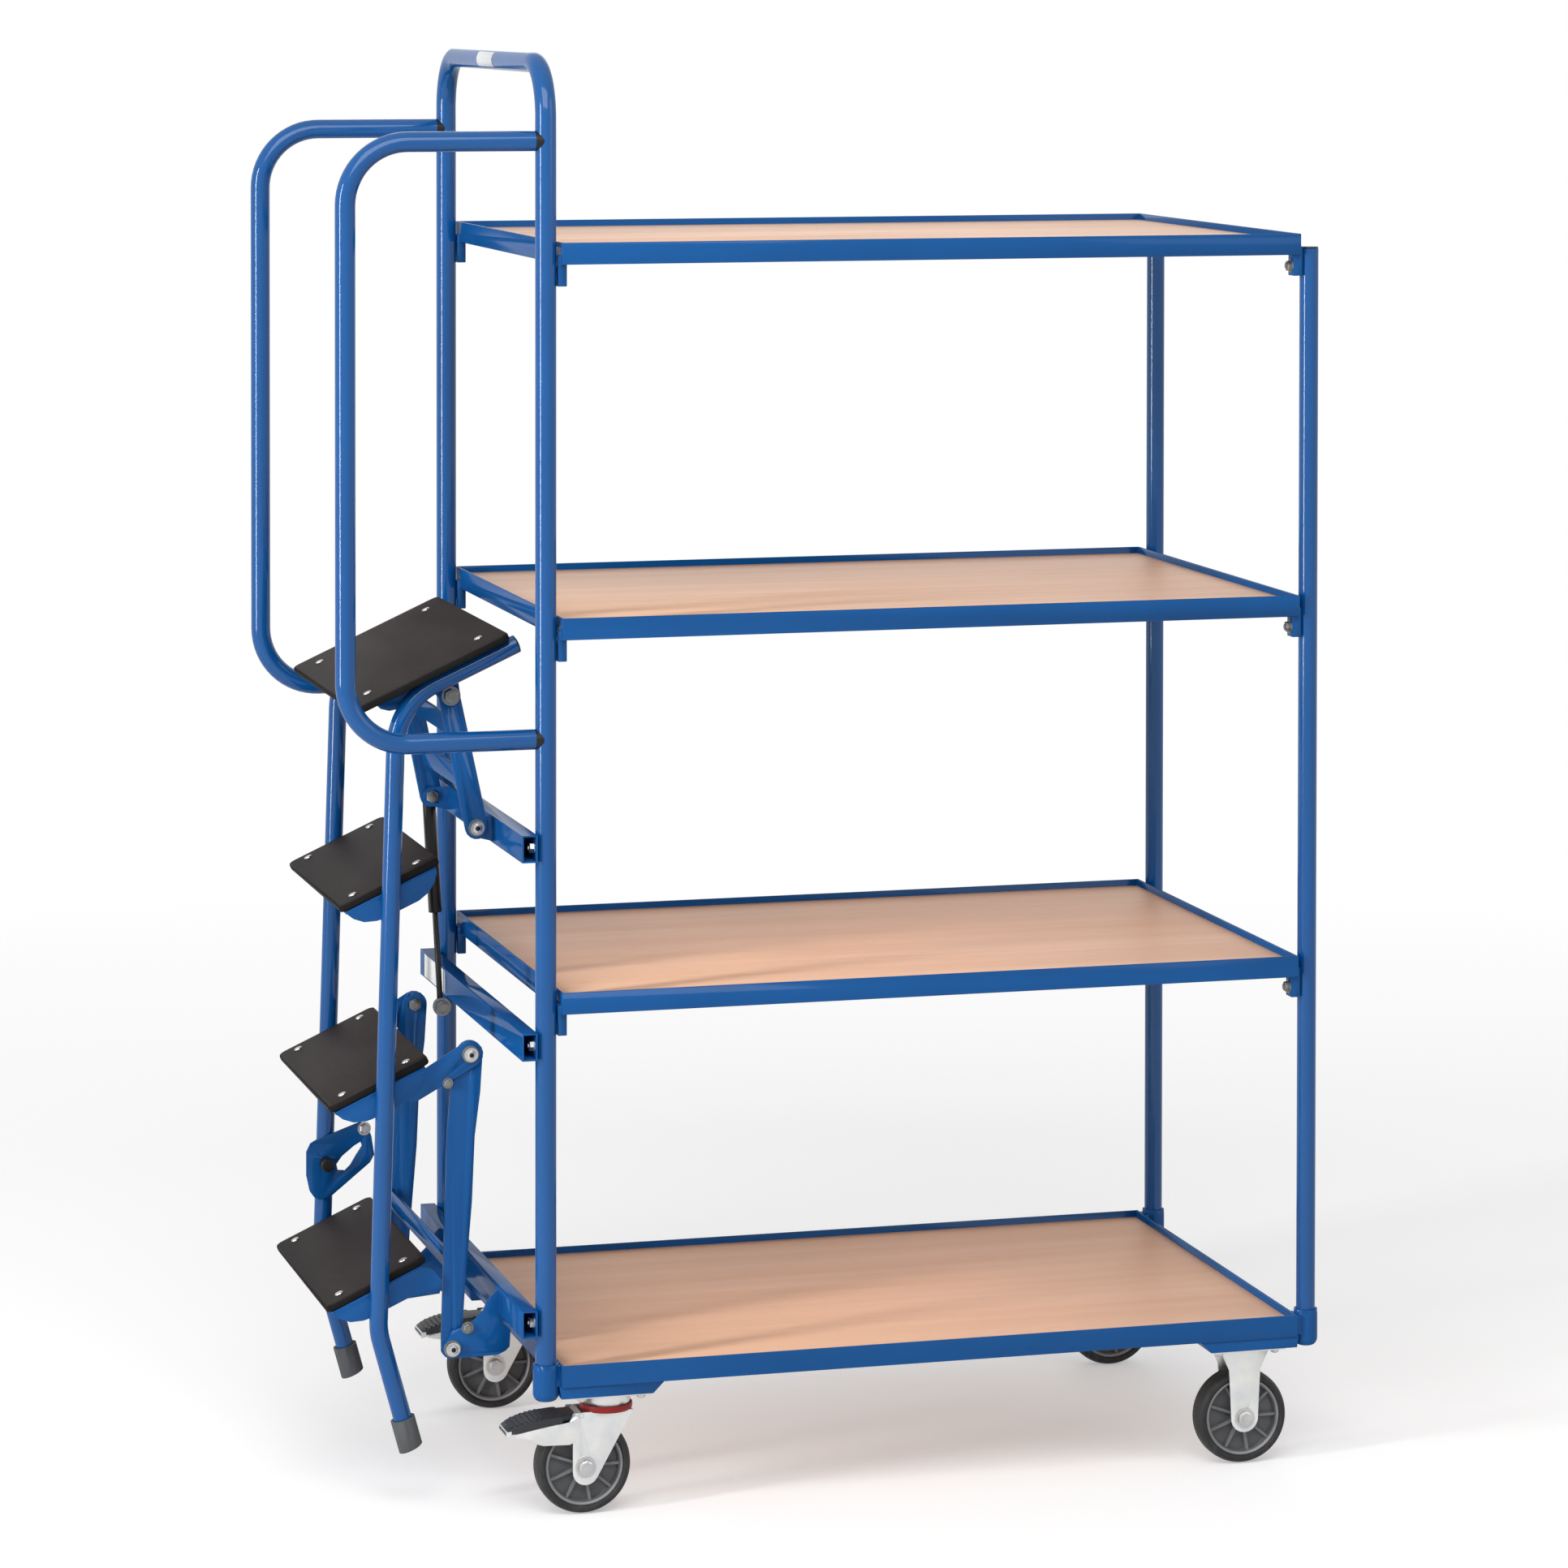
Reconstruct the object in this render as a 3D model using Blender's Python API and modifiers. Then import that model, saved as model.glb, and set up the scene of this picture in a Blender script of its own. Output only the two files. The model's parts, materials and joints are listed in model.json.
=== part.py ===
"""Order picking trolley with a fold-down step ladder.

Four levels of boarded angle frames stand between two bent ladder-side posts and two far posts.
Two braked swivel castors carry the ladder end, two fixed castors the far end. A four-tread
ladder hangs on a lower and an upper link at the ladder end and swings down to the floor.

Metres, +Z up. The origin is on the floor, in the middle of the trolley's length and width.
X runs along the trolley with the ladder at -X, and the front side is -Y.
Distances called back or ahead are measured from the axis of the ladder-side posts.
"""

import math

import bmesh
import bpy
from mathutils import Matrix, Vector

MM = 0.001

# Fits and cuts
CLEARANCE = 0.3 * MM
WELD = 1 * MM
OVERRUN = 5 * MM
BOARD_PLAY = 1 * MM
ROUND_SIDES = 24

# Posts and the handle arch
POST_PITCH = 1035 * MM
POST_INSET = 17.5 * MM
ARCH_RADIUS = 13.5 * MM
ARCH_TOP = 1865 * MM
ARCH_BEND = 70 * MM
FAR_POST_RADIUS = 12.5 * MM
FAR_POST_DROP = 18 * MM
TUBE_BEVEL_RESOLUTION = 4
BEND_STEPS = 8

# Angle frames and their boards
FRAME_WIDTH = 640 * MM
FRAME_LENGTH = POST_PITCH - 2 * POST_INSET
POST_SPREAD = FRAME_WIDTH / 2 - POST_INSET
ANGLE_HEIGHT = 28 * MM
ANGLE_FLANGE = 29 * MM
ANGLE_THICK = 3 * MM
CASTOR_HEIGHT = 160 * MM
PAN_DEPTH = 15 * MM
SHELF_PITCH = 478 * MM
BOARD_THICK = 16 * MM
CORNER_LUG_WIDTH = 20 * MM
CORNER_LUG_REACH = 8 * MM
CORNER_LUG_BITE = 2 * MM
CORNER_LUG_HANG = 28 * MM
CORNER_LUG_TOP = 11 * MM

# Sockets and castor pans of the deck
SOCKET_WALL = 3 * MM
FAR_SOCKET_WALL = 3 * MM
SOCKET_BOTTOM = 157 * MM
FAR_SOCKET_BOTTOM = 160 * MM
SOCKET_FLOOR = 10 * MM
SOCKET_ROUNDING = 8 * MM
SOCKET_RISE = 1 * MM
FAR_SOCKET_RISE = 5 * MM
SOCKET_WEB_WIDTH = 24 * MM
SOCKET_WEB_REACH = 2 * MM
PAN_LENGTH = 139 * MM
PAN_CHAMFER = 16 * MM
PAN_WIDTH = 100 * MM
PAN_INSET = 2.5 * MM

# Guard loops
GUARD_REACH = 259 * MM
GUARD_RADIUS = 13 * MM
GUARD_TOP = 1766 * MM
GUARD_BOTTOM = 1004 * MM
GUARD_BEND = 80 * MM

# Cross bars between the ladder-side posts
BAR_DEPTH = 20 * MM
BAR_HEIGHT = 35 * MM
BAR_WALL = 2 * MM
BAR_OVERHANG = 14.5 * MM
BAR_HALF_LENGTH = POST_SPREAD + BAR_OVERHANG
UPPER_BAR_UP = 866 * MM
MIDDLE_BAR_UP = 613 * MM
LOWER_BAR_UP = 258 * MM

# Pivots of the ladder's linkage: distance behind the posts and height
LOWER_FIXED_BACK = 96 * MM
LOWER_FIXED_UP = 200 * MM
UPPER_FIXED_BACK = 55.3 * MM
UPPER_FIXED_UP = 869 * MM
LOWER_LINK_BACK = 72 * MM
LOWER_LINK_UP = 581.5 * MM
UPPER_LINK_BACK = 92 * MM
UPPER_LINK_UP = 1044 * MM
GAS_FIXED_BACK = 39.4 * MM
GAS_FIXED_UP = 581 * MM
GAS_EYE_ON_LINK = 45 * MM

# Ladder legs
LADDER_TILT = math.radians(24.4)
LEG_SPREAD = 195 * MM
LEG_RADIUS = 12 * MM
FOOT_BACK = 153.7 * MM
FOOT_UP = 79.4 * MM
LEG_LOWER_LENGTH = 158.4 * MM
LEG_LOWER_LEAN = math.radians(15.5)
LEG_LONG_LENGTH = 810.5 * MM
LEG_LONG_LEAN = math.radians(1.75)
LEG_TOP_LENGTH = 172 * MM
LEG_BEND = 90 * MM
FOOT_CAP_LENGTH = 40 * MM
FOOT_CAP_RADIUS = 16 * MM
FOOT_CAP_FLOOR = 9 * MM

# Treads and their carriers
TREAD_THICK = 10 * MM
TREAD_DEPTH = 143 * MM
TREAD_SIDE_PLAY = 2 * MM
TREAD_CORNER = 10 * MM
TREAD_PITCH = 258 * MM
FIRST_TREAD_UP = 293.5 * MM
TREAD_SHIFTS = (3.4 * MM, 7 * MM, 1 * MM)
TOP_TREAD_DEPTH = 221 * MM
TOP_TREAD_WIDTH = 440 * MM
TOP_TREAD_OVERHANG = 55.7 * MM
CARRIER_THICK = 3 * MM
CHEEK_THICK = 4 * MM
CHEEK_DROP = 28 * MM
TOP_CHEEK_DROP = 22 * MM
CHEEK_SHARES = (
    (-0.93, 0.0), (-0.85, -0.38), (-0.7, -0.74), (-0.48, -0.96), (-0.36, -1.0),
    (0.36, -1.0), (0.58, -0.86), (0.76, -0.54), (0.86, -0.2), (0.88, 0.0)
)
NOSE_SHARES = (
    (-0.93, 0.0), (-0.85, -0.38), (-0.7, -0.74), (-0.48, -0.96), (-0.36, -1.0), (0.4, -1.0),
    (0.96, -1.5), (1.1, -0.98), (1.04, -0.4), (0.88, 0.0)
)
TOP_CHEEK_SHARES = (
    (-0.72, 0.0), (-0.68, -0.5), (-0.6, -0.82), (-0.47, -1.0), (0.58, -1.0), (0.69, -0.7), (0.74, 0.0)
)
ARM_ROOT_SHARE = 0.25
ARM_ROOT_DROP = 31 * MM
ARM_ROOT_RADIUS = 15 * MM
ARM_BOSS_RADIUS = 17 * MM
STUD_LUG_THICK = 4.7 * MM
STUD_LUG_RADIUS = 14 * MM
STUD_LUG_FOOT = 26 * MM

# Latch plate on the rear leg
LATCH_BACK = 219.5 * MM
LATCH_UP = 321 * MM
LATCH_WIDTH = 93 * MM
LATCH_HEIGHT = 103 * MM
LATCH_SHARES = (
    (0.0, 0.64), (0.0, 0.33), (0.05, 0.12), (0.12, 0.03), (0.2, 0.0), (0.36, 0.04), (0.94, 0.46), (1.0, 0.56),
    (0.96, 0.8), (0.9, 0.95), (0.8, 1.0), (0.14, 0.79), (0.06, 0.75)
)
LATCH_SLOT_SHARES = (
    (0.46, 0.38), (0.57, 0.37), (0.65, 0.44), (0.73, 0.56), (0.82, 0.68), (0.8, 0.74), (0.7, 0.69),
    (0.52, 0.56), (0.44, 0.46)
)
LATCH_PIN_SHARES = (0.27, 0.5)
LATCH_PIN_RADIUS = 8 * MM
LATCH_PIN_LENGTH = 24 * MM

# Links
LINK_PLATE = 6 * MM
LOWER_LINK_BOSS = 17 * MM
LOWER_LINK_TAIL = 14 * MM
LOWER_LINK_LEFT_SHARES = ((0.04, 0.85), (0.72, 1.36), (0.87, 1.3))
LOWER_LINK_RIGHT_SHARES = ((0.87, 1.0), (0.72, 0.78), (0.5, 0.88), (0.2, 0.74), (0.05, 0.75))
LOWER_BRACE_SHARE = 0.31
LOWER_BRACE_HEIGHT = 25 * MM
LOWER_BRACE_THICK = 4 * MM
UPPER_LINK_INNER = 140 * MM
UPPER_LINK_BOSS = 15 * MM
CROSS_FLAT_SHARES = (0.34, 0.74)
CROSS_FLAT_WIDTH = 30 * MM
CROSS_FLAT_THICK = 4 * MM

# Fixed lugs and brackets of the linkage
BRACKET_BOSS = 13 * MM
BRACKET_TOP_SHARES = ((0.0, 0.31), (0.21, 0.357), (0.45, 0.457), (0.66, 0.62), (0.74, 0.78), (0.94, 0.95))
BRACKET_LOW_SHARES = ((1.24, 0.26), (1.22, -0.03), (1.13, -0.1), (0.97, -0.16))
BRACKET_NECK_SHARE = 0.44
BAR_LUG_THICK = 4 * MM
BAR_LUG_BOSS = 13 * MM
BAR_LUG_SHARE = 0.46

# Pivot bolts
BOLT_RADIUS = 5 * MM
BOLT_HEAD_RADIUS = 9 * MM
BOLT_HEAD_THICK = 4 * MM
LOW_HEAD_THICK = 2.5 * MM
TURNING_PLAY = 0.6 * MM
HEX_SIDES = 6

# Gas spring
GAS_SPREAD = 158.2 * MM
GAS_CYLINDER_RADIUS = 9 * MM
GAS_ROD_RADIUS = 4 * MM
GAS_ROD_SIDES = 12
GAS_EYE_RADIUS = 9 * MM
GAS_EYE_WIDTH = 12 * MM
GAS_PIN_RADIUS = 4 * MM
GAS_CYLINDER_START = 128 * MM
GAS_ROD_LAP = 40 * MM
GAS_BORE_DEPTH = 100 * MM
GAS_LUG_THICK = 4.7 * MM
GAS_LUG_RADIUS = 12 * MM

# Wheels
WHEEL_RADIUS = 62.5 * MM
TYRE_WIDTH = 36 * MM
TYRE_FLAT_SHARE = 0.6
TYRE_SHOULDER = 3.5 * MM
TYRE_BORE = 50.5 * MM
TYRE_SIDES = 32
RIM_WALL = 2.5 * MM
RIM_WIDTH = 30 * MM
WEB_THICK = 6 * MM
HUB_RADIUS = 14 * MM
HUB_WIDTH = 39 * MM
AXLE_RADIUS = 6 * MM
AXLE_HEAD_RADIUS = 10 * MM
AXLE_HEAD_THICK = 5 * MM
AXLE_HEAD_SIDES = 12
RIB_COUNT = 9
RIB_THICK = 3 * MM
RIB_WIDTH = 24 * MM
RIM_SIDES = 18

# Castors
CASTOR_INSET = 54.5 * MM
CASTOR_SPREAD = FRAME_WIDTH / 2 - CASTOR_INSET
SWIVEL_AHEAD = 88 * MM
CASTOR_TRAIL = 32 * MM
FIXED_INSET = 80 * MM
FIXED_AHEAD = POST_PITCH - FIXED_INSET
FORK_GAP = 40 * MM
FORK_PLATE = 3 * MM
CASTOR_PLATE_LENGTH = 100 * MM
CASTOR_PLATE_WIDTH = 84 * MM
CASTOR_PLATE_THICK = 4 * MM
HEAD_RADIUS = 31 * MM
HEAD_DEPTH = 18 * MM
RACE_RADIUS = 33 * MM
RACE_DEPTH = 5 * MM
SADDLE_THICK = 4 * MM
SADDLE_BACK = 30 * MM
SADDLE_AHEAD = 31 * MM
FORK_CROWN_BACK = 48 * MM
FORK_SHOULDER_BACK = 60 * MM
FORK_SHOULDER_DROP = 26 * MM
FORK_WAIST_DROP = 39 * MM
FORK_WAIST_AHEAD = 12 * MM
FORK_TIP_RADIUS = 17 * MM
FIXED_FORK_TOP_HALF = 36 * MM
FIXED_FORK_WING = 14 * MM
FIXED_FORK_TIP_RADIUS = 19 * MM
PEDAL_PIVOT_BACK = 38 * MM
PEDAL_PIVOT_DROP = 6.5 * MM
PEDAL_PIN_RADIUS = 3 * MM
PEDAL_BOSS_RADIUS = 3.5 * MM
PEDAL_LENGTH = 98 * MM
PEDAL_FALL = 15 * MM
PEDAL_THICK = 7 * MM
PEDAL_TOE_LENGTH = 66 * MM
PEDAL_TOE_WIDTH = 46 * MM
PEDAL_NECK_WIDTH = 34 * MM
PEDAL_NECK_SHARE = 0.8

# Derived places
FAR_SOCKET_RADIUS = FAR_POST_RADIUS + FAR_SOCKET_WALL
SOCKET_RADIUS = ARCH_RADIUS + SOCKET_WALL
LADDER_POST_X = (GUARD_REACH + GUARD_RADIUS - POST_PITCH - FAR_SOCKET_RADIUS) / 2
FAR_POST_X = LADDER_POST_X + POST_PITCH
FRAME_X = LADDER_POST_X + POST_INSET
FRAME_END_X = FRAME_X + FRAME_LENGTH
DECK_RAIL_BOTTOM = CASTOR_HEIGHT + PAN_DEPTH
DECK_RIM = DECK_RAIL_BOTTOM + ANGLE_HEIGHT
TOP_RIM = DECK_RIM + 3 * SHELF_PITCH
BAR_NEAR_X = LADDER_POST_X - ARCH_RADIUS - CLEARANCE
BAR_FAR_X = BAR_NEAR_X - BAR_DEPTH
CHEEK_OUTER = LEG_SPREAD - LEG_RADIUS - CLEARANCE
CHEEK_INNER = CHEEK_OUTER - CHEEK_THICK
LOWER_LINK_OUTER = CHEEK_INNER - CLEARANCE
LOWER_LINK_INNER = LOWER_LINK_OUTER - LINK_PLATE
UPPER_LINK_OUTER = UPPER_LINK_INNER + LINK_PLATE
BAR_LUG_OUTER = UPPER_LINK_INNER - CLEARANCE
BAR_LUG_INNER = BAR_LUG_OUTER - BAR_LUG_THICK
STUD_LUG_INNER = UPPER_LINK_OUTER + CLEARANCE
STUD_LUG_OUTER = STUD_LUG_INNER + STUD_LUG_THICK
TREAD_WIDTH = 2 * (LEG_SPREAD - LEG_RADIUS - TREAD_SIDE_PLAY)

UP_THE_TILT = Vector((math.cos(LADDER_TILT), math.sin(LADDER_TILT)))
OUT_OF_TILT = Vector((-math.sin(LADDER_TILT), math.cos(LADDER_TILT)))


def behind(back, up):
    """The side-view point (x, z) this far behind the ladder-side posts and above the floor."""
    return Vector((LADDER_POST_X - back, up))


LOWER_FIXED = behind(LOWER_FIXED_BACK, LOWER_FIXED_UP)
UPPER_FIXED = behind(UPPER_FIXED_BACK, UPPER_FIXED_UP)
LOWER_MOVING = behind(LOWER_LINK_BACK, LOWER_LINK_UP)
UPPER_MOVING = behind(UPPER_LINK_BACK, UPPER_LINK_UP)
GAS_FIXED = behind(GAS_FIXED_BACK, GAS_FIXED_UP)
GAS_LINE = (UPPER_FIXED - GAS_FIXED).normalized()
GAS_MOVING = UPPER_FIXED + GAS_LINE * GAS_EYE_ON_LINK

FOOT = behind(FOOT_BACK, FOOT_UP)
LEG_LOWER_LINE = Vector((-math.sin(LEG_LOWER_LEAN), math.cos(LEG_LOWER_LEAN)))
LEG_LONG_LINE = Vector((math.sin(LEG_LONG_LEAN), math.cos(LEG_LONG_LEAN)))
KNEE = FOOT + LEG_LOWER_LINE * LEG_LOWER_LENGTH
ELBOW = KNEE + LEG_LONG_LINE * LEG_LONG_LENGTH
LEG_END = ELBOW + UP_THE_TILT * LEG_TOP_LENGTH

FINISHES = {
    "blue": ((0.022, 0.15, 0.42, 1.0), 0.35, 0.0),
    "board": ((0.72, 0.46, 0.30, 1.0), 0.5, 0.0),
    "tread": ((0.058, 0.048, 0.046, 1.0), 0.5, 0.0),
    "zinc": ((0.72, 0.74, 0.75, 1.0), 0.35, 0.9),
    "tyre": ((0.02, 0.02, 0.022, 1.0), 0.7, 0.0),
    "rim": ((0.10, 0.10, 0.11, 1.0), 0.55, 0.0),
    "rubber": ((0.11, 0.12, 0.13, 1.0), 0.75, 0.0),
    "black": ((0.012, 0.012, 0.014, 1.0), 0.4, 0.0),
    "steel": ((0.55, 0.56, 0.58, 1.0), 0.3, 1.0),
}


def clear_scene():
    """Removes every object and makes the two collections."""
    for old in list(bpy.data.objects):
        bpy.data.objects.remove(old, do_unlink=True)
    made = []
    for name in ("order_picking_trolley", "cutters"):
        collection = bpy.data.collections.new(name)
        bpy.context.scene.collection.children.link(collection)
        made.append(collection)
    return made


PARTS, CUTTERS = clear_scene()


def mesh_object(name, form):
    """A loose object from a bmesh, kept with the cutters until a part takes it."""
    mesh = bpy.data.meshes.new(name)
    form.to_mesh(mesh)
    form.free()
    made = bpy.data.objects.new(name, mesh)
    CUTTERS.objects.link(made)
    made.hide_render = True
    made.display_type = "WIRE"
    return made


def as_mesh(curve):
    """Turns a curve object into a mesh whose caps are welded and whose faces point out."""
    evaluated = curve.evaluated_get(bpy.context.evaluated_depsgraph_get())
    form = bmesh.new()
    form.from_mesh(bpy.data.meshes.new_from_object(evaluated))
    bmesh.ops.remove_doubles(form, verts=form.verts, dist=CLEARANCE / 100)
    bmesh.ops.recalc_face_normals(form, faces=form.faces)
    form.transform(curve.matrix_world)
    name = curve.name
    bpy.data.objects.remove(curve, do_unlink=True)
    return mesh_object(name, form)


def box(name, low, high, turn=0.0, about=(0.0, 0.0)):
    """A box between two corners, turned about Y by an angle round a side-view point (x, z)."""
    size = [b - a for a, b in zip(low, high)]
    middle = [(a + b) / 2 for a, b in zip(low, high)]
    form = bmesh.new()
    bmesh.ops.create_cube(form, size=1)
    bmesh.ops.scale(form, vec=size, verts=form.verts)
    bmesh.ops.translate(form, vec=middle, verts=form.verts)
    if turn:
        centre = Vector((about[0], 0, about[1]))
        bmesh.ops.rotate(form, cent=centre, matrix=Matrix.Rotation(-turn, 3, "Y"), verts=form.verts)
    return mesh_object(name, form)


def rod(name, start, end, radius, end_radius=None, sides=ROUND_SIDES):
    """A cylinder, or a cone where the two radii differ, between two points."""
    start, end = Vector(start), Vector(end)
    form = bmesh.new()
    bmesh.ops.create_cone(
        form, cap_ends=True, segments=sides, radius1=radius,
        radius2=radius if end_radius is None else end_radius, depth=(end - start).length
    )
    turn = Vector((0, 0, 1)).rotation_difference(end - start).to_matrix().to_4x4()
    form.transform(Matrix.Translation((start + end) / 2) @ turn)
    return mesh_object(name, form)


def cross_rod(name, place, near, far, radius, sides=ROUND_SIDES, end_radius=None):
    """A rod along Y at a side-view point, between two distances from the middle plane."""
    return rod(name, (place[0], near, place[1]), (place[0], far, place[1]), radius, end_radius, sides)


def arc(centre, radius, start, end, steps):
    """Side-view points on an arc, from one angle to another in degrees."""
    angles = [math.radians(start + (end - start) * step / steps) for step in range(steps + 1)]
    return [Vector((centre[0] + radius * math.cos(a), centre[1] + radius * math.sin(a))) for a in angles]


def plate(name, outline, near, far, holes=()):
    """A flat plate in the side view: an outline and round holes, between two places on Y."""
    curve = bpy.data.curves.new(name, "CURVE")
    curve.dimensions = "2D"
    curve.fill_mode = "BOTH"
    curve.extrude = abs(far - near) / 2
    for points in [outline] + [arc(at, radius, 0, 360, ROUND_SIDES)[:-1] for at, radius in holes]:
        spline = curve.splines.new("POLY")
        spline.points.add(len(points) - 1)
        spline.use_cyclic_u = True
        for point, place in zip(spline.points, points):
            point.co = (place[0], place[1], 0, 1)
    made = bpy.data.objects.new(name, curve)
    made.location = (0, (near + far) / 2, 0)
    made.rotation_euler = (math.pi / 2, 0, 0)
    CUTTERS.objects.link(made)
    bpy.context.view_layer.update()
    return as_mesh(made)


def bar_outline(first, first_radius, last, last_radius, steps=8):
    """The outline of a bar with round ends about two side-view points."""
    along = Vector(last) - Vector(first)
    heading = math.degrees(math.atan2(along[1], along[0]))
    lean = math.degrees(math.asin((first_radius - last_radius) / along.length))
    near = arc(first, first_radius, heading + 90 - lean, heading + 270 + lean, steps)
    away = arc(last, last_radius, heading - 90 + lean, heading + 90 - lean, steps)
    return near + away


def filleted(points, radius):
    """The points of a path with its inner corners rounded to a bend radius."""
    path = [Vector(points[0])]
    for before, corner, after in zip(points, points[1:], points[2:]):
        corner = Vector(corner)
        back = (Vector(before) - corner).normalized()
        on = (Vector(after) - corner).normalized()
        half = math.acos(max(-1.0, min(1.0, back.dot(on)))) / 2
        reach = radius / math.tan(half)
        centre = corner + (back + on).normalized() * (radius / math.sin(half))
        start = corner + back * reach - centre
        end = corner + on * reach - centre
        steps = max(2, math.ceil(BEND_STEPS * start.angle(end) / (math.pi / 2)))
        for step in range(steps + 1):
            path.append(centre + start.slerp(end, step / steps).normalized() * radius)
    path.append(Vector(points[-1]))
    return path


def tube(name, path, radius, resolution=TUBE_BEVEL_RESOLUTION):
    """A round tube along a path, as a curve with filled ends."""
    curve = bpy.data.curves.new(name, "CURVE")
    curve.dimensions = "3D"
    curve.bevel_depth = radius
    curve.bevel_resolution = resolution
    curve.use_fill_caps = True
    spline = curve.splines.new("POLY")
    spline.points.add(len(path) - 1)
    for point, place in zip(spline.points, path):
        point.co = (*place, 1)
    made = bpy.data.objects.new(name, curve)
    CUTTERS.objects.link(made)
    bpy.context.view_layer.update()
    return made


def turned(name, profile, sides, middle):
    """A closed (radius, width) profile turned round an axis along Y, with a flat face at the bottom."""
    form = bmesh.new()
    half_step = math.pi / sides
    places = [(r * math.cos(half_step), r * math.sin(half_step), w) for r, w in profile]
    corners = [form.verts.new(place) for place in places]
    for first, second in zip(corners, corners[1:] + corners[:1]):
        form.edges.new((first, second))
    made = mesh_object(name, form)
    screw = made.modifiers.new("turn", "SCREW")
    screw.axis = "Z"
    screw.steps = sides
    screw.render_steps = sides
    screw.use_merge_vertices = True
    screw.merge_threshold = CLEARANCE / 10
    made.location = middle
    made.rotation_euler = (math.pi / 2, 0, 0)
    return made


def group(name, pieces):
    """Joins loose objects that don't touch each other into one."""
    form = bmesh.new()
    for piece in pieces:
        form.from_mesh(piece.data)
        bpy.data.objects.remove(piece, do_unlink=True)
    return mesh_object(name, form)


def combine(made, operation, others):
    """Adds one live Boolean to an object for each of the others."""
    for other in others:
        modifier = made.modifiers.new(other.name, "BOOLEAN")
        modifier.operation = operation
        modifier.solver = "EXACT"
        modifier.object = other


def part(name, made, finish, carrier=None, add=(), cut=(), smooth=False):
    """Makes a loose object a part of the trolley, with its finish and what it turns on."""
    made.name = name
    CUTTERS.objects.unlink(made)
    PARTS.objects.link(made)
    made.hide_render = False
    made.display_type = "TEXTURED"
    combine(made, "UNION", add)
    combine(made, "DIFFERENCE", cut)
    colour, roughness, metallic = FINISHES[finish]
    material = bpy.data.materials.new(name)
    material.use_nodes = True
    shader = material.node_tree.nodes["Principled BSDF"]
    shader.inputs["Base Color"].default_value = colour
    shader.inputs["Roughness"].default_value = roughness
    shader.inputs["Metallic"].default_value = metallic
    material.diffuse_color = colour
    made.data.materials.append(material)
    if smooth and made.type == "MESH":
        made.data.shade_smooth()
        made.data.set_sharp_from_angle(angle=math.radians(35))
    if carrier:
        made.parent = carrier
        made.matrix_parent_inverse = Matrix.Translation(-carrier.location)
    return made


def axis_empty(name, place):
    """An empty on a joint's axis, which carries what turns there."""
    made = bpy.data.objects.new(name, None)
    made.location = place
    PARTS.objects.link(made)
    return made


def side_name(side):
    """The word for a side: -1 is the front, +1 the rear."""
    return "front" if side < 0 else "rear"


def flat_radius(radius, sides):
    """The corner radius of a polygon whose flats lie at this radius."""
    return radius / math.cos(math.pi / sides)


# Posts and hand rails


def build_handle_arch():
    """The two ladder-side posts and the push bow, bent from one tube."""
    foot = SOCKET_BOTTOM + SOCKET_FLOOR + CLEARANCE
    corners = [
        (LADDER_POST_X, -POST_SPREAD, foot),
        (LADDER_POST_X, -POST_SPREAD, ARCH_TOP),
        (LADDER_POST_X, POST_SPREAD, ARCH_TOP),
        (LADDER_POST_X, POST_SPREAD, foot),
    ]
    part("handle_arch", tube("arch", filleted(corners, ARCH_BEND), ARCH_RADIUS), "blue", smooth=True)


def build_far_post(side):
    """A straight post at the far end, plugged at its top."""
    foot = FAR_SOCKET_BOTTOM + SOCKET_FLOOR + CLEARANCE
    y = side * POST_SPREAD
    path = [(FAR_POST_X, y, foot), (FAR_POST_X, y, TOP_RIM - FAR_POST_DROP)]
    part(f"far_post_{side_name(side)}", tube("post", path, FAR_POST_RADIUS), "blue", smooth=True)


def build_guard_loop(side):
    """A C-shaped hand rail whose two ends are hollowed to sit against the round post."""
    y = side * POST_SPREAD
    far_x = LADDER_POST_X - GUARD_REACH
    corners = [
        (LADDER_POST_X, y, GUARD_TOP), (far_x, y, GUARD_TOP),
        (far_x, y, GUARD_BOTTOM), (LADDER_POST_X, y, GUARD_BOTTOM)
    ]
    loop = as_mesh(tube("loop", filleted(corners, GUARD_BEND), GUARD_RADIUS))
    reach = GUARD_RADIUS + OVERRUN
    seat = rod(
        "seat",
        (LADDER_POST_X, y, GUARD_BOTTOM - reach), (LADDER_POST_X, y, GUARD_TOP + reach),
        flat_radius(ARCH_RADIUS + CLEARANCE, ROUND_SIDES)
    )
    part(f"guard_loop_{side_name(side)}", loop, "blue", cut=[seat], smooth=True)


# Frames, boards and cross bars


def angle_ring(rim):
    """A frame of angle rails: a rim with a flange inside its bottom edge. Returns the blank and its cuts."""
    half = FRAME_WIDTH / 2
    bottom = rim - ANGLE_HEIGHT
    blank = box("rails", (FRAME_X, -half, bottom), (FRAME_END_X, half, rim))
    pocket = box(
        "pocket",
        (FRAME_X + ANGLE_THICK, -half + ANGLE_THICK, bottom + ANGLE_THICK),
        (FRAME_END_X - ANGLE_THICK, half - ANGLE_THICK, rim + OVERRUN),
    )
    opening = box(
        "opening",
        (FRAME_X + ANGLE_FLANGE, -half + ANGLE_FLANGE, bottom - OVERRUN),
        (FRAME_END_X - ANGLE_FLANGE, half - ANGLE_FLANGE, rim),
    )
    return blank, [pocket, opening]


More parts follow.
